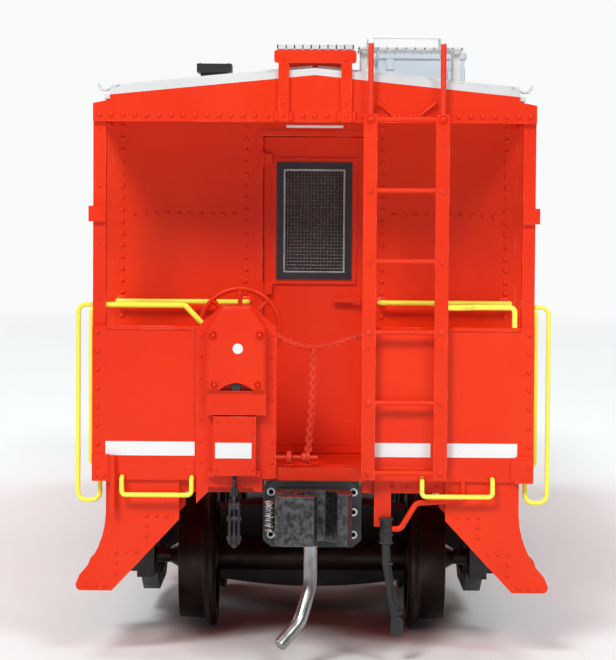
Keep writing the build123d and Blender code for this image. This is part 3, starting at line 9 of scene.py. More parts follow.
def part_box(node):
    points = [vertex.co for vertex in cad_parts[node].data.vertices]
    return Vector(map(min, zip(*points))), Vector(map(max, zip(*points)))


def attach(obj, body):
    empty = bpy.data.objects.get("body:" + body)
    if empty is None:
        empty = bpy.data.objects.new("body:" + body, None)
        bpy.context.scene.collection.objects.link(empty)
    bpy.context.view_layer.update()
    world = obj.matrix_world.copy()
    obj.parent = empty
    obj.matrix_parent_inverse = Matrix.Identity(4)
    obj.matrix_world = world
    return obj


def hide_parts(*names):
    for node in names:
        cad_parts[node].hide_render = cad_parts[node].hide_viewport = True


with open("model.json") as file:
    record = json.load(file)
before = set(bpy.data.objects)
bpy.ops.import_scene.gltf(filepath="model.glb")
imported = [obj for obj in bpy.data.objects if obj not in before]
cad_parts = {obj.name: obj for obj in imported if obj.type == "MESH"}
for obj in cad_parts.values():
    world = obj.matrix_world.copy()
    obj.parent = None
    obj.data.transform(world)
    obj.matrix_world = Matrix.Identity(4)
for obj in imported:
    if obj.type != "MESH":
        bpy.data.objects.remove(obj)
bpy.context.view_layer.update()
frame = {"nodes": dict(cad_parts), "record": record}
MM = 0.001

# --- places read from the CAD model, in millimetres ---------------------------------------------


def low(node):
    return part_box(node)[0] / MM


def high(node):
    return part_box(node)[1] / MM


HALF_W = high("body_sides").x
SILL_Z0 = low("body_sides").z
POST_FACE = -low("corner_posts").y
PANEL_FACE = -low("end_panels").y
PANEL_TOP = high("end_panels").z
PANEL_Z0 = low("end_panels").z
BULKHEAD = -low("end_bulkheads").y
HEADER_FACE = -low("end_headers").y
HEADER_Z = low("end_headers").z
SIDE_TOP = high("side_headers").z - 0.65
FLOOR_TOP = high("floor_plate").z
FLOOR_Z0 = low("floor_plate").z
STAND_FACE = -low("brake_stands").y
HOUSING_FACE = -low("brake_housings").y
LADDER_FACE = -low("ladders").y
BAY_X = high("bay_boxes").x
STAND_X = -5.37        # middle of the brake stand
LADDER_X = 6.4         # middle of the ladder
LADDER_HALF = 2.525    # from there to the middle of a ladder rail
RUNG_Z0, RUNG_PITCH, RUNGS = 13.39, 4.95, 6
RIVET_PITCH = 0.87
HANDWHEEL_Y = 60.6     # plane of the handwheel's rim
STEP_FACE = 62.1       # front face of the step stringers
CHAIN_Y = 62.53        # plane the safety chain hangs in
HOSE_Y = 62.57
ROD_Z = 14.4           # height of the rod and the ring on it
BELT_Z = 24.0          # height of the rivet row along the car's middle
TRUCK_Y = 38.4         # middle of the truck
AXLE_Y = 9.6           # from there to an axle
AXLE_Z = 5.44


# --- mesh building ------------------------------------------------------------------------------
class Builder:
    """Gathers vertices and faces, in millimetres, and makes one mesh object of them."""

    def __init__(self):
        self.verts = []
        self.faces = []

    def add(self, verts, faces):
        base = len(self.verts)
        self.verts += [Vector(v) for v in verts]
        self.faces += [tuple(base + i for i in f) for f in faces]

    def box(self, lo, hi, bevel=0.03):
        """A block with chamfered edges."""
        lo, hi = Vector(lo), Vector(hi)
        b = min(bevel, min(hi - lo) * 0.45)
        verts = []
        for axis in range(3):
            for i in (0, 1):
                for j in (0, 1):
                    for k in (0, 1):
                        corner = Vector([(lo, hi)[n][m] for m, n in enumerate((i, j, k))])
                        for m in range(3):
                            if m != axis:
                                corner[m] += b if (i, j, k)[m] == 0 else -b
                        verts.append(corner)

        def at(axis, i, j, k):
            return axis * 8 + i * 4 + j * 2 + k

        faces = []
        for axis in range(3):
            for side in (0, 1):
                quad = []
                for u, v in ((0, 0), (0, 1), (1, 1), (1, 0)):
                    ijk = [u, v]
                    ijk.insert(axis, side)
                    quad.append(at(axis, *ijk))
                faces.append(quad if side == 0 else quad[::-1])
        for axis in range(3):
            p, q = [m for m in range(3) if m != axis]
            for i in (0, 1):
                for j in (0, 1):
                    ends = []
                    for k in (0, 1):
                        ijk = [0, 0, 0]
                        ijk[p], ijk[q], ijk[axis] = i, j, k
                        ends.append((at(p, *ijk), at(q, *ijk)))
                    faces.append((ends[0][0], ends[0][1], ends[1][1], ends[1][0]))
        for i in (0, 1):
            for j in (0, 1):
                for k in (0, 1):
                    faces.append((at(0, i, j, k), at(1, i, j, k), at(2, i, j, k)))
        self.add(verts, faces)

    def rings(self, rings, cap_start=True, cap_end=True, closed=False):
        """Skins a list of equal rings of points."""
        n = len(rings[0])
        verts = [p for ring in rings for p in ring]
        faces = []
        count = len(rings) if closed else len(rings) - 1
        for r in range(count):
            s = (r + 1) % len(rings)
            for i in range(n):
                j = (i + 1) % n
                faces.append((r * n + i, r * n + j, s * n + j, s * n + i))
        if not closed and cap_start:
            faces.append(tuple(range(n))[::-1])
        if not closed and cap_end:
            faces.append(tuple((len(rings) - 1) * n + i for i in range(n)))
        self.add(verts, faces)

    def turned(self, centre, axis, profile, segments=12):
        """A solid of revolution: profile is (radius, height along the axis) from end to end."""
        axis = Vector(axis).normalized()
        side = axis.orthogonal().normalized()
        other = axis.cross(side)
        rings = []
        for radius, height in profile:
            ring = []
            for i in range(segments):
                a = 2 * math.pi * i / segments
                arm = side * math.cos(a) + other * math.sin(a)
                ring.append(Vector(centre) + axis * height + arm * radius)
            rings.append(ring)
        self.rings(rings)

    def rivet(self, at, normal, radius=0.15):
        """Round-headed rivet standing on a surface."""
        outline = ((1.0, -0.2), (1.0, 0.12), (0.86, 0.48), (0.5, 0.74), (0.12, 0.82))
        self.turned(at, normal, [(radius * r, radius * h) for r, h in outline], segments=9)

    def bolt(self, at, normal, radius=0.2, height=0.16):
        """Hexagonal bolt head with a washer."""
        self.turned(at, normal, ((radius * 1.3, -0.02), (radius * 1.3, 0.04)), segments=12)
        self.turned(at, normal, ((radius, 0.03), (radius, height * 0.8), (radius * 0.8, height)),
                    segments=6)

    def tube(self, points, radius, segments=8, closed=False):
        """Round tube along a line of points."""
        points = [Vector(p) for p in points]
        count = len(points)
        rings = []
        side = None
        for i, p in enumerate(points):
            if closed:
                ahead, behind = points[(i + 1) % count], points[i - 1]
            else:
                ahead, behind = points[min(i + 1, count - 1)], points[max(i - 1, 0)]
            along = (ahead - behind).normalized()
            if side is None:
                side = along.orthogonal().normalized()
            side = (side - along * side.dot(along)).normalized()
            other = along.cross(side)
            rings.append([p + (side * math.cos(a) + other * math.sin(a)) * radius
                          for a in (2 * math.pi * k / segments for k in range(segments))])
        self.rings(rings, closed=closed)

    def link(self, centre, along, across, length, width, wire):
        """One oval chain link."""
        along = Vector(along).normalized()
        across = Vector(across)
        across = (across - along * across.dot(along)).normalized()
        points = []
        steps = 14
        for k in range(steps):
            a = 2 * math.pi * k / steps
            points.append(Vector(centre) + along * math.cos(a) * (length / 2 - wire)
                          + across * math.sin(a) * (width / 2 - wire))
        self.tube(points, wire, segments=6, closed=True)

    def both_ends(self):
        """Adds a half-turn copy, for the +Y end."""
        base = len(self.verts)
        self.verts += [Vector((-v.x, -v.y, v.z)) for v in self.verts]
        self.faces += [tuple(base + i for i in f) for f in list(self.faces)]
        return self

    def both_sides(self):
        """Adds a mirror image across the middle of the car."""
        base = len(self.verts)
        self.verts += [Vector((-v.x, v.y, v.z)) for v in self.verts]
        self.faces += [tuple(base + i for i in f)[::-1] for f in list(self.faces)]
        return self

    def make(self, name, material, body="body", slot=None, smooth=40, replaces=()):
        mesh = bpy.data.meshes.new(name)
        mesh.from_pydata([v * MM for v in self.verts], [], self.faces)
        mesh.validate()
        mesh.update()
        piece = bpy.data.objects.new(name, mesh)
        bpy.context.scene.collection.objects.link(piece)
        mesh.materials.append(material)
        mesh.shade_smooth()
        mesh.set_sharp_from_angle(angle=math.radians(smooth))
        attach(piece, body)
        if replaces:
            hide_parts(*replaces)
        return piece


# --- materials ----------------------------------------------------------------------------------
class Shader:
    """A node material being put together."""

    def __init__(self, name):
        self.material = bpy.data.materials.new(name)
        self.material.use_nodes = True
        self.tree = self.material.node_tree
        self.bsdf = self.tree.nodes["Principled BSDF"]
        coords = self.tree.nodes.new("ShaderNodeTexCoord")
        self.place = coords.outputs["Object"]

    def link(self, output, socket):
        self.tree.links.new(output, socket)

    def noise(self, scale, detail=4.0, rough=0.55, stretch=None):
        node = self.tree.nodes.new("ShaderNodeTexNoise")
        node.inputs["Scale"].default_value = scale
        node.inputs["Detail"].default_value = detail
        node.inputs["Roughness"].default_value = rough
        if stretch:
            mapping = self.tree.nodes.new("ShaderNodeMapping")
            mapping.inputs["Scale"].default_value = stretch
            self.link(self.place, mapping.inputs["Vector"])
            self.link(mapping.outputs["Vector"], node.inputs["Vector"])
        else:
            self.link(self.place, node.inputs["Vector"])
        return node.outputs["Fac"]

    def ramp(self, source, stops):
        """stops: (position, colour or grey value)."""
        node = self.tree.nodes.new("ShaderNodeValToRGB")
        ramp = node.color_ramp
        while len(ramp.elements) < len(stops):
            ramp.elements.new(0.5)
        for element, (position, value) in zip(ramp.elements, stops):
            element.position = position
            colour = value if isinstance(value, (tuple, list)) else (value, value, value)
            element.color = (*colour[:3], 1)
        self.link(source, node.inputs["Fac"])
        return node.outputs["Color"]

    def mix(self, factor, a, b):
        node = self.tree.nodes.new("ShaderNodeMix")
        node.data_type = "RGBA"
        for value, socket in ((factor, node.inputs[0]), (a, node.inputs[6]), (b, node.inputs[7])):
            if isinstance(value, (tuple, list)):
                socket.default_value = (*value[:3], 1)
            elif isinstance(value, float):
                socket.default_value = value
            else:
                self.link(value, socket)
        return node.outputs[2]

    def math(self, operation, a, b):
        node = self.tree.nodes.new("ShaderNodeMath")
        node.operation = operation
        for value, socket in ((a, node.inputs[0]), (b, node.inputs[1])):
            if isinstance(value, float):
                socket.default_value = value
            else:
                self.link(value, socket)
        return node.outputs[0]

    def bump(self, height, strength, distance):
        node = self.tree.nodes.new("ShaderNodeBump")
        node.inputs["Strength"].default_value = strength
        node.inputs["Distance"].default_value = distance
        self.link(height, node.inputs["Height"])
        self.link(node.outputs["Normal"], self.bsdf.inputs["Normal"])

    def edge_wear(self, radius=0.00010):
        """One along sharp edges, where a rounded normal leaves the true one, else nought."""
        rounded = self.tree.nodes.new("ShaderNodeBevel")
        rounded.samples = 4
        rounded.inputs["Radius"].default_value = radius
        geometry = self.tree.nodes.new("ShaderNodeNewGeometry")
        dot = self.tree.nodes.new("ShaderNodeVectorMath")
        dot.operation = "DOT_PRODUCT"
        self.link(rounded.outputs["Normal"], dot.inputs[0])
        self.link(geometry.outputs["Normal"], dot.inputs[1])
        return self.ramp(dot.outputs["Value"], ((0.86, 1.0), (0.985, 0.0)))


def painted(name, colour, deep, light, roughness=0.36, coat=0.06, chips=None, grain=0.25):
    """Sprayed enamel: slow colour drift, dust specks, fine orange peel, worn edges."""
    s = Shader(name)
    drift = s.ramp(s.noise(90, 3), ((0.32, deep), (0.5, colour), (0.72, light)))
    specks = s.ramp(s.noise(2600, 2, 0.7), ((0.70, 0.0), (0.78, 1.0)))
    surface = s.mix(s.math("MULTIPLY", specks, 0.35), drift, light)
    if chips:
        patches = s.ramp(s.noise(700, 3), ((0.5, 0.0), (0.62, 1.0)))
        worn = s.math("MULTIPLY", s.edge_wear(), patches)
        surface = s.mix(s.math("MULTIPLY", worn, 0.6), surface, chips)
    s.link(surface, s.bsdf.inputs["Base Color"])
    s.link(s.ramp(s.noise(420, 4), ((0.3, roughness - 0.07), (0.7, roughness + 0.10))),
           s.bsdf.inputs["Roughness"])
    s.bsdf.inputs["Coat Weight"].default_value = coat
    s.bsdf.inputs["Coat Roughness"].default_value = 0.28
    s.bsdf.inputs["Specular IOR Level"].default_value = 0.24
    s.bump(s.noise(3200, 3, 0.6), grain, 0.00002)
    return s.material


def moulded(name, colour, light, roughness=0.5):
    """Black plastic or blackened casting: fine grain, dusty highs, slightly worn edges."""
    s = Shader(name)
    base = s.ramp(s.noise(260, 4), ((0.35, colour), (0.75, light)))
    dust = s.math("MULTIPLY", s.edge_wear(), 0.3)
    s.link(s.mix(dust, base, (0.12, 0.12, 0.12)), s.bsdf.inputs["Base Color"])
    s.link(s.ramp(s.noise(900, 4), ((0.3, roughness - 0.12), (0.7, roughness + 0.12))),
           s.bsdf.inputs["Roughness"])
    s.bump(s.noise(2400, 4, 0.65), 0.35, 0.00003)
    return s.material


def metal(name, dark, light, roughness, scale=1500, bump=0.4, stretch=None, metallic=1.0):
    """Bare or blackened metal with a grainy, partly polished surface."""
    s = Shader(name)
    patches = s.noise(scale, 5, 0.65, stretch)
    shine = s.edge_wear()
    base = s.ramp(patches, ((0.38, dark), (0.66, light)))
    polished = [min(1.0, c * 1.7 + 0.04) for c in light]
    s.link(s.mix(s.math("MULTIPLY", shine, 0.7), base, polished), s.bsdf.inputs["Base Color"])
    s.bsdf.inputs["Metallic"].default_value = metallic
    s.link(s.ramp(patches, ((0.35, roughness + 0.12), (0.7, roughness - 0.1))),
           s.bsdf.inputs["Roughness"])
    s.bump(s.noise(scale * 2, 4, 0.6, stretch), bump, 0.00003)
    return s.material


def wheel_metal():
    """Blackened wheel with a brown bloom, ring marks from turning and a polished tread edge."""
    s = Shader("blackened_wheel")
    bloom = s.ramp(s.noise(420, 5, 0.6),
                   ((0.35, (0.012, 0.009, 0.008)), (0.62, (0.030, 0.021, 0.018)),
                    (0.82, (0.075, 0.052, 0.040))))
    s.link(s.mix(s.math("MULTIPLY", s.edge_wear(), 0.4), bloom, (0.16, 0.12, 0.095)),
           s.bsdf.inputs["Base Color"])
    s.bsdf.inputs["Metallic"].default_value = 0.85
    s.link(s.ramp(s.noise(700, 4), ((0.3, 0.30), (0.7, 0.48))), s.bsdf.inputs["Roughness"])
    s.bump(s.noise(60, 3, 0.6, (60, 1, 1)), 0.25, 0.00003)
    return s.material


def clear_pane():
    """Slightly green, slightly uneven clear plastic."""
    s = Shader("clear_glazing")
    s.link(s.ramp(s.noise(300, 2), ((0.3, (0.80, 0.88, 0.88)), (0.7, (0.88, 0.94, 0.93)))),
           s.bsdf.inputs["Base Color"])
    s.bsdf.inputs["Transmission Weight"].default_value = 0.9
    s.bsdf.inputs["IOR"].default_value = 1.45
    s.link(s.ramp(s.noise(500, 3), ((0.3, 0.04), (0.8, 0.14))), s.bsdf.inputs["Roughness"])
    s.bump(s.noise(200, 2), 0.1, 0.00002)
    return s.material


RED = painted("red_enamel", (0.82, 0.031, 0.003), (0.78, 0.025, 0.0025), (0.86, 0.040, 0.005),
              chips=(0.90, 0.22, 0.14))
CHAIN_RED = painted("chain_red", (0.84, 0.05, 0.018), (0.62, 0.03, 0.012), (0.85, 0.11, 0.06),
                    roughness=0.45, grain=0.6)
WHITE = painted("white_enamel", (0.69, 0.70, 0.71), (0.60, 0.61, 0.62), (0.77, 0.77, 0.78),
                chips=(0.45, 0.46, 0.48))
MARK_WHITE = painted("mark_white", (0.85, 0.86, 0.87), (0.81, 0.82, 0.83), (0.89, 0.90, 0.91),
                     roughness=0.42)
YELLOW = painted("yellow_enamel", (0.97, 0.93, 0.09), (0.95, 0.87, 0.07), (0.98, 0.95, 0.15),
                 roughness=0.38, chips=(0.98, 0.85, 0.45))
# blue-grey standing for white paint in shadow: painted shade on the roof box and its louvres
SHADED_WHITE = painted("white_in_painted_shade", (0.60, 0.66, 0.72), (0.52, 0.58, 0.65), (0.68, 0.73, 0.78))
BLACK = moulded("satin_black", (0.012, 0.012, 0.014), (0.030, 0.030, 0.034), 0.42)
TRUCK_BLACK = moulded("truck_black", (0.010, 0.011, 0.013), (0.028, 0.029, 0.032), 0.5)
GASKET = moulded("gasket_black", (0.016, 0.008, 0.014), (0.035, 0.020, 0.030), 0.38)
COUPLER = metal("coupler_graphite", (0.040, 0.040, 0.043), (0.15, 0.15, 0.155), 0.36, 2600, 0.8,
                metallic=0.9)
STEEL = metal("bright_wire", (0.26, 0.255, 0.25), (0.55, 0.55, 0.55), 0.30, 900, 0.35, (1, 1, 0.3))
MESH_WIRE = metal("screen_wire", (0.05, 0.047, 0.047), (0.16, 0.15, 0.15), 0.45, 3000, 0.3)
BALLAST = metal("ballast_steel", (0.18, 0.17, 0.16), (0.30, 0.29, 0.28), 0.5)
WHEEL = wheel_metal()


def hoop_paint():
    """Red front legs, white over the top and behind, with a soft brushed boundary."""
    s = Shader("hoop_paint")
    axes = s.tree.nodes.new("ShaderNodeSeparateXYZ")
    s.link(s.place, axes.inputs[0])
    wander = s.math("MULTIPLY", s.noise(1500, 3), 0.0006)
    low_part = s.math("LESS_THAN", s.math("ADD", axes.outputs["Z"], wander), 0.0437)
    front = s.math("GREATER_THAN", s.math("ABSOLUTE", axes.outputs["Y"], 0.0), 0.0625)
    s.link(s.mix(s.math("MULTIPLY", low_part, front), (0.84, 0.85, 0.86), (0.84, 0.035, 0.010)),
           s.bsdf.inputs["Base Color"])
    s.link(s.ramp(s.noise(500, 3), ((0.3, 0.34), (0.7, 0.5))), s.bsdf.inputs["Roughness"])
    s.bump(s.noise(3200, 3), 0.3, 0.00002)
    return s.material


HOOP = hoop_paint()
GLASS = clear_pane()

NODE_MATERIALS = {
    "red_paint": RED, "white_paint": WHITE, "yellow_paint": YELLOW, "roof_grey": SHADED_WHITE,
    "black_paint": BLACK, "black_plastic": TRUCK_BLACK, "blackened_steel": WHEEL,
    "coupler_metal": COUPLER, "bright_steel": STEEL, "gasket_black": GASKET,
    "screen_grey": MESH_WIRE, "clear_glazing": GLASS, "ballast_steel": BALLAST,
}
SLOTS = {row["node"]: row["material_slot"] for row in frame["record"]["subparts"]}
for node_name, node in frame["nodes"].items():
    finish = HOOP if node_name == "ladder_hoops" else NODE_MATERIALS[SLOTS[node_name]]
    if node.data.materials:
        node.data.materials[0] = finish
    else:
        node.data.materials.append(finish)

# --- small helpers for patterns ------------------------------------------------------------------
FRONT = (0, -1, 0)
UP = (0, 0, 1)
OUT = (1, 0, 0)


def spaced(start, end, pitch):
    """Even positions from start to end, near the given pitch."""
    count = max(1, round(abs(end - start) / pitch))
    return [start + (end - start) * i / count for i in range(count + 1)]


def rivet_line(b, start, end, pitch, normal, radius=0.15):
    start, end = Vector(start), Vector(end)
    count = max(1, round((end - start).length / pitch))
    for i in range(count + 1):
        b.rivet(start.lerp(end, i / count), normal, radius)


def ring_bolt(b, at, radius=0.3):
    """Bolt head inside a raised ring, on a face that looks to -Y."""
    outline = ((1.0, -0.03), (1.0, 0.10), (0.86, 0.16), (0.66, 0.10), (0.6, 0.03), (0.5, 0.05),
               (0.42, 0.20), (0.12, 0.25))
    b.turned(at, FRONT, [(radius * r, height) for r, height in outline], segments=14)


def stripe(b, x0, x1, z0, z1, face):
    """A painted patch on a face that looks to -Y."""
    b.box((x0, -face - 0.035, z0), (x1, -face + 0.02, z1), 0.012)


# --- ends: rivets ---------------------------------------------------------------------------------
ends = Builder()
header_row = HEADER_Z + 0.45
for x in spaced(-HALF_W + 0.45, HALF_W - 0.45, 0.85):
    ends.rivet((x, -HEADER_FACE, header_row), FRONT, 0.18)
for side in (-1, 1):
    rivet_line(ends, (side * (HALF_W - 0.36), -PANEL_FACE, PANEL_Z0 + 1.6),
               (side * (HALF_W - 0.36), -PANEL_FACE, PANEL_TOP - 0.45), 1.31, FRONT, 0.18)
    rivet_line(ends, (side * (HALF_W - 0.45), -POST_FACE, PANEL_TOP + 1.9),
               (side * (HALF_W - 0.45), -POST_FACE, HEADER_Z - 0.6), 3.6, FRONT, 0.11)
    for x, z in ((0.35, 0.3), (0.85, 0.3), (0.35, 0.95)):
        ends.rivet((side * (HALF_W - x), -PANEL_FACE - 0.2, FLOOR_Z0 + z), FRONT, 0.13)
    rivet_line(ends, (side * 4.6, -POST_FACE + 0.2, SILL_Z0 + 0.42),
               (side * (HALF_W - 1.5), -POST_FACE + 0.2, SILL_Z0 + 0.42), 1.0, FRONT, 0.13)
rivet_line(ends, (-7.85, -PANEL_FACE, PANEL_Z0 + 1.1), (-7.85, -PANEL_FACE, PANEL_TOP - 0.4), 1.44,
           FRONT, 0.18)
ends.both_ends().make("end_rivets", RED, slot="red_paint")

# thin rolled lip along the top of each panel
lip = Builder()
for x0, x1 in ((-HALF_W + 0.95, STAND_X - 2.95), (LADDER_X - 2.4, HALF_W - 0.95)):
    lip.box((x0, -PANEL_FACE - 0.1, PANEL_TOP - 0.28),
            (x1, -PANEL_FACE + 0.1, PANEL_TOP + 0.03), 0.06)
lip.both_ends().make("panel_lips", RED, slot="red_paint")

# --- bulkhead -------------------------------------------------------------------------------------
wall = Builder()
for side in (-1, 1):
    for x in (14.2, 5.04):
        rivet_line(wall, (side * x, -BULKHEAD, FLOOR_TOP + 0.6), (side * x, -BULKHEAD, HEADER_Z),
                   RIVET_PITCH, FRONT, 0.18)
    rivet_line(wall, (side * 5.9, -BULKHEAD, 31.5), (side * 13.35, -BULKHEAD, 31.5),
               0.86, FRONT, 0.18)
    rivet_line(wall, (side * 4.0, -BULKHEAD - 0.15, FLOOR_TOP + 1),
               (side * 4.0, -BULKHEAD - 0.15, 37.2), 1.9, FRONT, 0.09)
wall.both_ends().make("bulkhead_rivets", RED, slot="red_paint")

door = Builder()
door_face = BULKHEAD - 0.25
for z in (17.5, 26.0, 35.6):
    door.tube([(-3.85, -BULKHEAD - 0.2, z - 0.55), (-3.85, -BULKHEAD - 0.2, z + 0.55)], 0.16)
    door.box((-3.75, -BULKHEAD - 0.16, z - 0.42), (-3.1, -door_face - 0.02, z + 0.42), 0.04)
door.box((-3.2, -door_face - 0.06, 14.4), (3.2, -door_face + 0.02, 16.2), 0.03)
door.both_ends().make("door_hinges", RED, slot="red_paint")

# silver inner line round the door's pane
trim = Builder()
PANE_HALF = high("door_screens").x
PANE_Z0, PANE_Z1 = low("door_screens").z, high("door_screens").z
TRIM_W = 0.16
inner = PANE_HALF - TRIM_W
for x0, x1, z0, z1 in ((-PANE_HALF, -inner, PANE_Z0, PANE_Z1),
                       (inner, PANE_HALF, PANE_Z0, PANE_Z1),
                       (-inner, inner, PANE_Z0, PANE_Z0 + TRIM_W),
                       (-inner, inner, PANE_Z1 - TRIM_W, PANE_Z1)):
    trim.box((x0, -BULKHEAD + 0.15, z0), (x1, -BULKHEAD + 0.45, z1), 0.03)
trim.both_ends().make("pane_trims", STEEL, slot="bright_steel")

# woven wire screen in front of the pane
MESH_PITCH = 0.25
WIRE_R = 0.052
WEAVE = 0.045          # how far a wire passes in front of or behind the middle
EDGE = 0.06            # the mesh stops this far inside the pane
mesh = Builder()
mesh_y = -BULKHEAD + 0.33
half_mesh = PANE_HALF - EDGE
columns = spaced(-half_mesh, half_mesh, MESH_PITCH)
rows = spaced(PANE_Z0 + EDGE, PANE_Z1 - EDGE, MESH_PITCH)
for i, x in enumerate(columns):
    mesh.tube([(x, mesh_y + (WEAVE if (i + j) % 2 else -WEAVE), z) for j, z in enumerate(rows)],
              WIRE_R, segments=5)
for j, z in enumerate(rows):
    mesh.tube([(x, mesh_y - (WEAVE if (i + j) % 2 else -WEAVE), z) for i, x in enumerate(columns)],
              WIRE_R, segments=5)
# a black sheet behind the mesh, so that daylight doesn't show through the car: painted shade
# standing for the dark inside of the car
shade_sheet = Builder()
shade_sheet.box((-PANE_HALF, mesh_y + 0.09, PANE_Z0), (PANE_HALF, mesh_y + 0.15, PANE_Z1), 0.01)
shade_sheet.both_ends().make("pane_shade_sheets", GASKET, slot="gasket_black")
mesh.both_ends().make("door_mesh", MESH_WIRE, slot="screen_grey", replaces=("door_screens",))

# plain bar, dot and stripes: no letters
marks = Builder()
marks.box((-2.1, -BULKHEAD - 0.035, 37.93), (2.1, -BULKHEAD + 0.02, 38.13), 0.01)
marks.turned((STAND_X + 0.1, -HOUSING_FACE, 22.1), FRONT, ((0.36, -0.02), (0.36, 0.03)),
             segments=24)
for x0, x1 in ((-14.6, -8.3), (4.35, 8.3), (9.35, 14.4)):
    stripe(marks, x0, x1, 14.45, 15.45, PANEL_FACE)
lower_face = STAND_FACE + 0.85    # front of the brake stand's lower box
stripe(marks, -6.82, -4.27, 14.4, 15.5, lower_face)
marks.both_ends().make("white_marks", MARK_WHITE, slot="white_paint")

# --- brake stand ----------------------------------------------------------------------------------
stand = Builder()
for x in (-7.0, -3.75):
    ring_bolt(stand, (x, -HOUSING_FACE, 23.05), 0.30)
    ring_bolt(stand, (x + (0.1 if x < -5 else -0.1), -HOUSING_FACE, 19.6), 0.26)
for x in (-7.9, -2.85):
    rivet_line(stand, (x, -STAND_FACE, 14.0), (x, -STAND_FACE, 23.0), 1.5, FRONT, 0.12)
for z in spaced(13.6, 17.0, 0.85):
    if not 14.2 < z < 15.7:       # the stripe is there
        for x in (-6.72, -4.2):
            stand.rivet((x, -lower_face, z), FRONT, 0.11)
for x in spaced(-6.72, -4.2, 0.84):
    stand.rivet((x, -lower_face, 17.0), FRONT, 0.1)
for x0, x1 in ((-7.35, -6.9), (-4.1, -3.65)):
    stand.box((x0, -STAND_FACE - 0.5, 13.0), (x1, -STAND_FACE + 0.05, 13.5), 0.05)
stand.both_ends().make("stand_bolts", RED, slot="red_paint")

# black block inside the housing's slot: painted shade, a dark patch standing for the shadow in the
# slot
slot_shade = Builder()
slot_shade.box((STAND_X - 0.30, -HOUSING_FACE + 0.2, 19.18),
          (STAND_X + 0.30, -HOUSING_FACE + 0.75, 19.62), 0.02)
slot_shade.both_ends().make("stand_slot_shades", BLACK, slot="black_paint")

# handwheels: round rim, hub and spokes, one object for each end
RIM_WIRE = 0.19
for end, turn in (("a", 1), ("b", -1)):
    hand = Builder()
    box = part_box("handwheel_" + end)
    centre = (box[0] + box[1]) / 2 / MM
    outer_r = (box[1].x - box[0].x) / 2 / MM
    plane = -HANDWHEEL_Y * turn
    rim_r = outer_r - RIM_WIRE
    hub = Vector((centre.x, plane, centre.z))
    axis = Vector((0, -turn, 0))
    circle = [hub + Vector((math.cos(a), 0, math.sin(a))) * rim_r
              for a in (2 * math.pi * k / 64 for k in range(64))]
    hand.tube(circle, RIM_WIRE, segments=10, closed=True)
    for k in range(8):
        a = 2 * math.pi * k / 8
        arm = Vector((math.cos(a), 0, math.sin(a)))
        hand.tube([hub + arm * 0.35 + axis * 0.12, hub + arm * 1.3 + axis * 0.05,
                   hub + arm * rim_r], 0.16, segments=8)
        hand.turned(hub + arm * (rim_r - 0.16), arm,
                    ((0.2, -0.25), (0.22, -0.05), (0.12, 0.05)), 8)
    hand.turned(hub, axis, ((0.55, -0.3), (0.6, -0.2), (0.6, 0.15), (0.45, 0.28), (0.25, 0.32),
                            (0.25, 1.9)), segments=18)
    hand.make("handwheel_rim_" + end, RED, body="handwheel_" + end, slot="red_paint",
              replaces=("handwheel_" + end,))

# --- ladder ---------------------------------------------------------------------------------------
ladder = Builder()
for x in (LADDER_X - LADDER_HALF, LADDER_X + LADDER_HALF):
    for k in range(RUNGS):
        z = RUNG_Z0 + k * RUNG_PITCH
        ladder.turned((x, -LADDER_FACE, z), FRONT, ((0.24, -0.03), (0.24, 0.05), (0.14, 0.13)), 10)
        ladder.turned((x, -LADDER_FACE, z), FRONT, ((0.1, 0.05), (0.1, 0.18), (0.03, 0.2)), 8)
    for z in (37.6, 36.4, 23.2, 22.2):
        ladder.rivet((x, -LADDER_FACE, z), FRONT, 0.11)
ladder.both_ends().make("ladder_bolts", RED, slot="red_paint")

# --- steps ----------------------------------------------------------------------------------------
steps = Builder()
for side in (-1, 1):
    for x, z in ((10.3, 10.2), (11.0, 10.2), (11.7, 10.2), (11.7, 9.5), (11.7, 8.75),
                 (12.45, 7.57), (13.15, 7.57), (13.85, 7.57), (13.85, 6.85), (13.85, 6.1),
                 (14.65, 5.2), (15.3, 5.2), (16.0, 5.2)):
        steps.rivet((side * x, -STEP_FACE, z), FRONT, 0.16)
    for x, z in ((9.9, 10.24), (12.1, 7.6), (14.4, 5.2)):
        x0, x1 = sorted((side * x, side * (x + 1.7)))
        for y in spaced(-61.2, -54.2, 0.5):
            steps.box((x0, y, z - 0.02), (x1, y + 0.2, z + 0.06), 0.02)
for x in (-13.4, -8.5, 7.7, 12.65):
    ring_bolt(steps, (x, -PANEL_FACE, 12.95), 0.26)
steps.both_ends().make("step_rivets", RED, slot="red_paint")

# --- chains, ring and rod -------------------------------------------------------------------------


def along(points, count):
    """Evenly spread points and directions along a bent line."""
    points = [Vector(p) for p in points]
    lengths = [(b - a).length for a, b in zip(points, points[1:])]
    total = sum(lengths)
    out = []
    for i in range(count):
        d = total * (i + 0.5) / count
        for a, b, length in zip(points, points[1:], lengths):
            if d <= length or b is points[-1]:
                out.append((a.lerp(b, min(1.0, d / length)), (b - a).normalized()))
                break
            d -= length
    return out


def chain(b, points, pitch, length, width, wire):
    """Links along a line of points, each turned a quarter from the last."""
    total = sum((Vector(q) - Vector(p)).length for p, q in zip(points, points[1:]))
    for i, (at, way) in enumerate(along(points, round(total / pitch))):
        across = Vector((0.25, 1, 0)) if i % 2 else Vector((0, 0.25, 1))
        b.link(at, way, across if abs(way.z) < 0.7 else
               (Vector((1, 0.25, 0)) if i % 2 else Vector((-0.25, 1, 0))), length, width, wire)


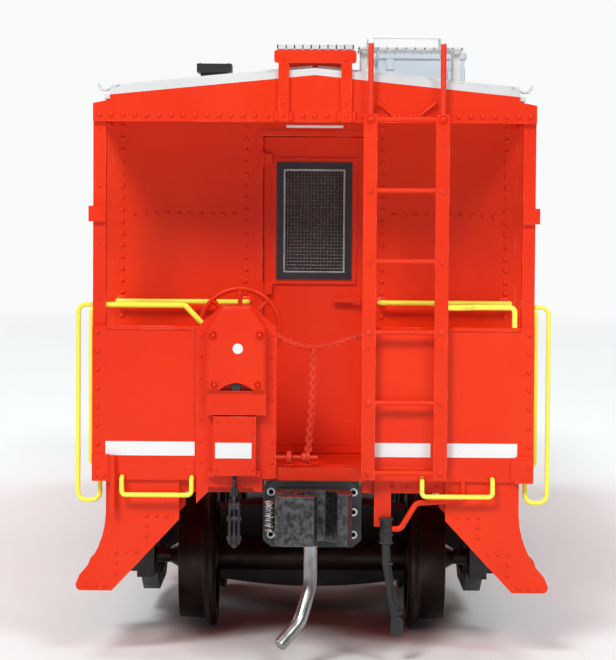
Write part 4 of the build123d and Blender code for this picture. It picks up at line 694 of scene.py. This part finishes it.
chains = Builder()
chain_x0, chain_x1, chain_z = -2.62, 3.55, 23.09
sag = [(0, 0), (0.1, 0.42), (0.22, 0.70), (0.34, 0.84), (0.43, 0.9), (0.55, 0.85), (0.68, 0.66),
       (0.85, 0.3), (1, 0)]
swag = [(chain_x0 + (chain_x1 - chain_x0) * u, -CHAIN_Y + 0.355 * u, chain_z - drop)
        for u, drop in sag]
chain(chains, swag, 0.27, 0.50, 0.46, 0.13)
top = Vector(swag[4])
ring_at = Vector((top.x - 0.35, top.y + 0.1, ROD_Z))
chain(chains, [top - Vector((0, 0, 0.15)), (top.x - 0.1, top.y, 18.0),
               ring_at + Vector((0, 0, 0.42))], 0.33, 0.64, 0.62, 0.17)
chains.turned(ring_at, OUT, ((0.26, -0.1), (0.46, -0.1), (0.46, 0.1), (0.26, 0.1)), 16)
for x, half in ((-1.65, 0.47), (-0.6, 0.36)):
    chains.turned((x, -CHAIN_Y, ROD_Z), OUT,
                  ((half * 0.7, -0.2), (half, -0.14), (half, 0.14), (half * 0.7, 0.2)), 16)
chains.turned((-2.57, -CHAIN_Y, ROD_Z), OUT, ((0.15, 0), (0.15, 2.9), (0.08, 2.95)), 10)
chains.both_ends().make("chain_links", CHAIN_RED, slot="red_paint",
                        replaces=("safety_chains",))

# --- couplers, hoses, pipes -----------------------------------------------------------------------
# The coupler heads swing close past the striker plates, so these bolts are nearly flush. Their
# heads end level with their washers, and the upper three lie inside the plate's lip.
STRIKER_BOLT_Y = PANEL_FACE + 0.48
STRIKER_BOLT_H = 0.04
striker = Builder()
for x in (-2.9, 2.9):
    for z in (9.0, 10.6, 12.0):
        striker.bolt((x, -STRIKER_BOLT_Y, z), FRONT, 0.22, STRIKER_BOLT_H)
for x in (-1.9, 0, 1.9):
    striker.bolt((x, -STRIKER_BOLT_Y, 12.2), FRONT, 0.2, STRIKER_BOLT_H)
striker.both_ends().make("striker_bolts", STEEL, slot="bright_steel")

for end, turn in (("a", 1), ("b", -1)):
    detail = Builder()
    spring_x, spring_y = -2.95, -64.6
    points = []
    for i in range(85):
        a = 2 * math.pi * i / 12
        points.append((spring_x + 0.30 * math.cos(a), spring_y + 0.30 * math.sin(a),
                       9.35 + 2.3 * i / 84))
    detail.tube(points, 0.075, segments=6)
    if turn < 0:
        detail.verts = [Vector((-v.x, -v.y, v.z)) for v in detail.verts]
    detail.make("knuckle_spring_" + end, STEEL, body="coupler_" + end, slot="bright_steel")

cocks = Builder()
for z in (8.45, 9.0, 10.1):
    cocks.turned((5.2, -HOSE_Y, z), UP,
                 ((0.42, -0.12), (0.52, -0.08), (0.52, 0.08), (0.42, 0.12)), 6)
cocks.turned((5.35, -HOSE_Y, 6.95), UP,
             ((0.31, -0.1), (0.38, -0.06), (0.38, 0.06), (0.31, 0.1)), 12)
cocks.turned((5.95, -62.9, 3.5), UP,
             ((0.31, -0.12), (0.42, -0.08), (0.42, 0.1), (0.31, 0.14)), 12)
cocks.both_ends().make("hose_clamps", BLACK, slot="black_plastic")

pendants = Builder()
px, py = STAND_X - 0.1, -STAND_FACE - 0.4
pendants.tube([(px, py, 13.2), (px, py, 11.3)], 0.14)
for k in range(3):
    pendants.link((px, py, 12.6 - 0.62 * k), UP, OUT if k % 2 else (0, 1, 0), 0.9, 0.62, 0.12)
for dx in (-0.42, 0.22):
    pendants.box((px + dx, py - 0.28, 8.3), (px + dx + 0.2, py + 0.28, 11.3), 0.07)
pendants.box((px - 0.42, py - 0.26, 10.7), (px + 0.42, py + 0.26, 11.25), 0.1)
for z in (8.75, 10.1):
    pendants.turned((px - 0.5, py, z), OUT,
                    ((0.1, -0.02), (0.2, 0), (0.2, 0.98), (0.1, 1.0)), 10)
pendants.turned((px, py, 9.5), UP,
                ((0.12, -1.45), (0.26, -1.3), (0.26, -0.6), (0.14, -0.4), (0.14, 1.2)), 12)
pendants.both_ends().make("pendant_clevis", BLACK, slot="black_paint",
                          replaces=("brake_pendants",))

# braces and ring bolts where rails and ladder meet the end
fixings = Builder()
for x, way in ((LADDER_X - LADDER_HALF, 1), (LADDER_X + LADDER_HALF, -1)):
    fixings.tube([(x + way * 0.4, -HEADER_FACE - 0.3, 39.4),
                  (x + way * 1.7, -HEADER_FACE - 0.12, 38.35)], 0.11)
    ring_bolt(fixings, (x, -LADDER_FACE, 38.15), 0.3)
for x in (-14.3, 14.1, 5.0, -5.0):
    fixings.turned((x, -BULKHEAD, 25.04), FRONT, ((0.42, -0.02), (0.42, 0.06), (0.3, 0.12)), 14)
for x in (-2.2, 2.2):
    for side in (-1, 1):
        fixings.box((x + side * 0.5 - 0.16, -HEADER_FACE - 0.3, HEADER_Z + 0.02),
                    (x + side * 0.5 + 0.16, -HEADER_FACE, HEADER_Z + 0.75), 0.08)
    for z in (38.4, 39.3, 42.3):
        fixings.rivet((x, -HEADER_FACE - 0.35, z), FRONT, 0.14)
fixings.both_ends().make("end_fixings", RED, slot="red_paint")

# --- body sides -----------------------------------------------------------------------------------
sides = Builder()
window_half_w, window_half_h, window_z = 2.6, 3.75, 28.6
SIDE_WINDOW_Y, BAY_WINDOW_Y = 31.5, 4.4
side_windows = ((-SIDE_WINDOW_Y, HALF_W), (SIDE_WINDOW_Y, HALF_W),
                (-BAY_WINDOW_Y, BAY_X), (BAY_WINDOW_Y, BAY_X))
for y in spaced(-51.5, -11.6, 5.7) + spaced(11.6, 51.5, 5.7):
    near_window = abs(abs(y) - SIDE_WINDOW_Y) < window_half_w + 0.5
    for z in spaced(SILL_Z0 + 0.5, SIDE_TOP - 0.4, RIVET_PITCH):
        if not (near_window and abs(z - window_z) < window_half_h + 0.6):
            sides.rivet((HALF_W, y, z), OUT, 0.13)
for y in spaced(-52.2, -10.6, RIVET_PITCH) + spaced(10.6, 52.2, RIVET_PITCH):
    for z in (SILL_Z0 + 0.35, BELT_Z, SIDE_TOP - 0.35):
        sides.rivet((HALF_W, y, z), OUT, 0.13)
for y in spaced(-8.4, 8.4, RIVET_PITCH):
    for z in (SILL_Z0 + 1.0, BELT_Z, SIDE_TOP - 0.75):
        sides.rivet((BAY_X, y, z), OUT, 0.13)
for y in (-8.3, 0.0, 8.3):
    for z in spaced(SILL_Z0 + 1.9, SIDE_TOP - 1.6, RIVET_PITCH):
        sides.rivet((BAY_X, y, z), OUT, 0.13)
for y, x in side_windows:
    sides.box((x - 0.05, y - window_half_w - 0.45, window_z - window_half_h - 0.55),
              (x + 0.3, y + window_half_w + 0.45, window_z - window_half_h - 0.12), 0.06)
    sides.box((x - 0.05, y - window_half_w - 0.3, window_z + window_half_h + 0.1),
              (x + 0.22, y + window_half_w + 0.3, window_z + window_half_h + 0.4), 0.06)
    for side in (-1, 1):
        y0 = y + side * (window_half_w + 0.17)
        sides.box((x - 0.05, min(y0, y0 + side * 0.25), window_z - window_half_h - 0.12),
                  (x + 0.1, max(y0, y0 + side * 0.25), window_z + window_half_h + 0.1), 0.03)
sides.both_sides().make("side_rivets", RED, slot="red_paint")

sashes = Builder()
for y, x in side_windows:
    sashes.box((x, y - window_half_w + 0.25, window_z - 0.16),
               (x + 0.16, y + window_half_w - 0.25, window_z + 0.16), 0.04)
sashes.both_sides().make("window_sashes", GASKET, slot="gasket_black")

# --- roof -----------------------------------------------------------------------------------------
ROOF_HALF = high("roof").x
ROOF_Z0 = 40.29        # top of the roof at its edge
ROOF_Z1 = 41.74        # and at its peak
ROOF_SLOPE = 0.1


def roof_z(x):
    """Height of the roof's top face."""
    return ROOF_Z1 - (ROOF_Z1 - ROOF_Z0) * abs(x) / ROOF_HALF


seams = Builder()
for y in spaced(-61.8, 61.8, 8.83):
    for side in (-1, 1):
        x0, x1 = side * 0.2, side * (ROOF_HALF - 0.05)
        ring = []
        for x in (x0, x1):
            z = roof_z(x)
            ring.append([(x, y - 0.22, z - 0.05), (x, y + 0.22, z - 0.05), (x, y + 0.16, z + 0.2),
                         (x, y - 0.16, z + 0.2)])
        seams.rings(ring if side > 0 else [r[::-1] for r in ring])
        for x in spaced(0.9, ROOF_HALF - 0.7, RIVET_PITCH):
            for dy in (-0.5, 0.5):
                if abs(y + dy) < 62:
                    seams.rivet((side * x, y + dy, roof_z(x)), (ROOF_SLOPE * side, 0, 1), 0.11)
eave_x = ROOF_HALF - 0.3
for side in (-1, 1):
    rivet_line(seams, (side * eave_x, -61.5, roof_z(eave_x)),
               (side * eave_x, 61.5, roof_z(eave_x)), RIVET_PITCH, (ROOF_SLOPE * side, 0, 1), 0.11)
seams.make("roof_seams", WHITE, slot="white_paint")

# gutter hooks curling up at the four roof corners
hooks = Builder()
for side in (-1, 1):
    x0 = side * (ROOF_HALF - 0.5)
    path = [(x0, ROOF_Z0 + 0.1), (side * (ROOF_HALF + 0.3), ROOF_Z0 - 0.25),
            (side * (ROOF_HALF + 0.72), ROOF_Z0 - 0.2), (side * (ROOF_HALF + 0.9), ROOF_Z0 + 0.15)]
    y0, y1 = -HEADER_FACE - 0.02, -HEADER_FACE + 0.95
    profile = [[(x, y0, z), (x, y1, z), (x - side * 0.06, y1, z + 0.14),
                (x - side * 0.06, y0, z + 0.14)] for x, z in path]
    hooks.rings(profile if side > 0 else [r[::-1] for r in profile])
hooks.both_ends().make("gutter_hooks", WHITE, slot="white_paint")

# open grating of the running board and of the side platforms
PLATFORM_LO, PLATFORM_HI = Vector((3.0, -62.6, 42.94)), Vector((10.3, -59.2, 43.24))
for node, name, lengthwise, lo, hi in (
        ("running_board", "running_grating", 9, low("running_board"), high("running_board")),
        ("lateral_platforms", "side_gratings", 11, PLATFORM_LO, PLATFORM_HI)):
    grate = Builder()
    for x in spaced(lo.x, hi.x - 0.14, (hi.x - lo.x) / lengthwise):
        grate.box((x, lo.y, lo.z), (x + 0.14, hi.y, hi.z), 0.03)
    for y in spaced(lo.y, hi.y - 0.2, 0.62):
        grate.box((lo.x, y, lo.z + 0.06), (hi.x, y + 0.2, hi.z - 0.05), 0.03)
    if node == "lateral_platforms":
        for x in (3.4, 9.9):
            for y in (-61.8, -59.6):
                foot = roof_z(x) - 0.05
                grate.box((x - 0.25, y - 0.25, foot), (x + 0.25, y + 0.25, 42.98), 0.05)
                grate.box((x - 0.45, y - 0.45, foot), (x + 0.45, y + 0.45, foot + 0.18), 0.05)
        grate.both_ends()
    grate.make(name, WHITE, slot="white_paint", replaces=(node,))

equipment = Builder()
box_lo, box_hi = low("roof_box"), high("roof_box")
for y in spaced(box_lo.y + 1.2, box_hi.y - 1.2, 0.8):
    for x0, x1 in ((box_lo.x + 0.08, box_lo.x + 0.3), (box_hi.x - 0.3, box_hi.x - 0.08)):
        equipment.box((x0, y, 42.6), (x1, y + 0.45, 44.6), 0.05)
for x in (box_lo.x + 0.8, box_hi.x - 0.8):
    for y in (box_lo.y + 0.8, (box_lo.y + box_hi.y) / 2, box_hi.y - 0.8):
        equipment.bolt((x, y, 45.82), UP, 0.2, 0.17)
for x in (box_lo.x + 1.2, box_hi.x - 1.2):
    equipment.box((x - 0.35, box_lo.y + 0.05, 44.3), (x + 0.35, box_lo.y + 0.3, 45.5), 0.06)
equipment.make("roof_box_louvres", SHADED_WHITE, slot="roof_grey")

flue = Builder()
stack_lo, stack_hi = low("smokestack"), high("smokestack")
for z in (43.2, 44.6):
    flue.box((stack_lo.x + 0.28, stack_lo.y + 0.28, z),
             (stack_hi.x - 0.28, stack_hi.y - 0.28, z + 0.16), 0.04)
for x in (stack_lo.x + 0.3, stack_hi.x - 0.3):
    for y in (stack_lo.y + 0.3, stack_hi.y - 0.3):
        flue.rivet((x, y, stack_hi.z - 0.03), UP, 0.12)
flue.make("stack_bands", BLACK, slot="black_paint")

# --- trucks ---------------------------------------------------------------------------------------
SPRING_Z0, SPRING_H, SPRING_R = 3.2, 3.0, 0.62
for end, turn in (("a", -1), ("b", 1)):
    gear = Builder()
    middle = turn * TRUCK_Y
    face = high("side_frames_" + end).x
    for side in (-1, 1):
        out = (side, 0, 0)
        for y in (middle - AXLE_Y, middle + AXLE_Y):
            gear.turned((side * (face - 0.5), y, AXLE_Z), out,
                        ((1.15, -0.1), (1.15, 0.1), (0.95, 0.22), (0.3, 0.26)), 18)
            for k in range(6):
                a = math.pi * k / 3
                gear.bolt((side * (face - 0.37), y + 0.85 * math.cos(a),
                           AXLE_Z + 0.85 * math.sin(a)), out, 0.13, 0.12)
        for y in (middle - 4.0, middle + 4.0):
            for z in (3.6, 7.4):
                gear.bolt((side * (face - 0.57), y, z), out, 0.24, 0.22)
        for dy in (-1.8, 0, 1.8):
            points = []
            for i in range(97):
                a = 2 * math.pi * i / 12
                points.append((side * (face - 1.2) + SPRING_R * math.cos(a),
                               middle + dy + SPRING_R * math.sin(a),
                               SPRING_Z0 + SPRING_H * i / 96))
            gear.tube(points, 0.13, segments=6)
    gear.make("truck_fittings_" + end, TRUCK_BLACK, body="truck_" + end, slot="black_plastic")

# --- camera, lights and floor ---------------------------------------------------------------------
BACKDROP = (0.945, 0.955, 0.955, 1)
camera_data = bpy.data.cameras.new("camera")
camera_data.sensor_width = 36.0
camera_data.lens = 127.9
camera = bpy.data.objects.new("camera", camera_data)
bpy.context.scene.collection.objects.link(camera)
camera.matrix_world = (Matrix.Translation((0, -0.227, 0.03074))
                       @ Matrix.Rotation(math.radians(0.134), 4, "Z")
                       @ Matrix.Rotation(math.radians(90 - 2.56), 4, "X")
                       @ Matrix.Rotation(math.radians(0.4), 4, "Z"))
bpy.context.scene.camera = camera


def area_light(name, at, target, size, watts, colour=(1, 1, 1)):
    data = bpy.data.lights.new(name, "AREA")
    data.size = size
    data.energy = watts
    data.color = colour
    lamp = bpy.data.objects.new(name, data)
    bpy.context.scene.collection.objects.link(lamp)
    lamp.location = at
    lamp.rotation_euler = (Vector(target) - Vector(at)).to_track_quat("-Z", "Y").to_euler()


area_light("key", (-0.22, -0.55, 0.50), (0, -0.04, 0.02), 0.18, 2.9, (1.0, 0.99, 0.97))
area_light("second", (0.28, -0.50, 0.50), (0, -0.04, 0.02), 0.18, 1.55, (0.98, 0.99, 1.0))
area_light("top", (0.0, 0.05, 0.60), (0, 0.0, 0.02), 0.50, 1.7)
area_light("left_back", (-0.40, 0.45, 0.30), (0, 0.0, 0.03), 0.35, 1.4)
area_light("right_back", (0.40, 0.50, 0.34), (0, 0.0, 0.03), 0.35, 1.4)

world = bpy.data.worlds.new("studio")
world.use_nodes = True
sky = world.node_tree
background = sky.nodes["Background"]
background.inputs["Color"].default_value = BACKDROP
# bright where it is seen, dim as a light on the car
seen = sky.nodes.new("ShaderNodeLightPath")
level = sky.nodes.new("ShaderNodeMapRange")
level.inputs["To Min"].default_value = 0.10
level.inputs["To Max"].default_value = 1.0
sky.links.new(seen.outputs["Is Camera Ray"], level.inputs["Value"])
sky.links.new(level.outputs["Result"], background.inputs["Strength"])
bpy.context.scene.world = world
bpy.context.scene.view_settings.view_transform = "Standard"

floor_mesh = bpy.data.meshes.new("floor")
floor_mesh.from_pydata([(-3, -3, 0), (3, -3, 0), (3, 3, 0), (-3, 3, 0)], [], [(0, 1, 2, 3)])
floor = bpy.data.objects.new("floor", floor_mesh)
bpy.context.scene.collection.objects.link(floor)
paper = Shader("paper_floor")
paper.link(paper.ramp(paper.noise(8, 3), ((0.3, (0.84, 0.885, 0.89)), (0.7, (0.87, 0.915, 0.92)))),
           paper.bsdf.inputs["Base Color"])
paper.bsdf.inputs["Roughness"].default_value = 0.75
paper.bump(paper.noise(900, 3), 0.05, 0.0001)
# far from the car the floor melts into the bright background
spot = paper.tree.nodes.new("ShaderNodeVectorMath")
spot.operation = "LENGTH"
paper.link(paper.place, spot.inputs[0])
far = paper.tree.nodes.new("ShaderNodeMapRange")
far.inputs["From Min"].default_value = 0.12
far.inputs["From Max"].default_value = 0.60
paper.link(spot.outputs["Value"], far.inputs["Value"])
glow = paper.tree.nodes.new("ShaderNodeEmission")
glow.inputs["Color"].default_value = BACKDROP
blend = paper.tree.nodes.new("ShaderNodeMixShader")
paper.link(far.outputs["Result"], blend.inputs["Fac"])
paper.link(paper.bsdf.outputs[0], blend.inputs[1])
paper.link(glow.outputs[0], blend.inputs[2])
paper.link(blend.outputs[0], paper.tree.nodes["Material Output"].inputs["Surface"])
floor_mesh.materials.append(paper.material)

bpy.context.view_layer.update()
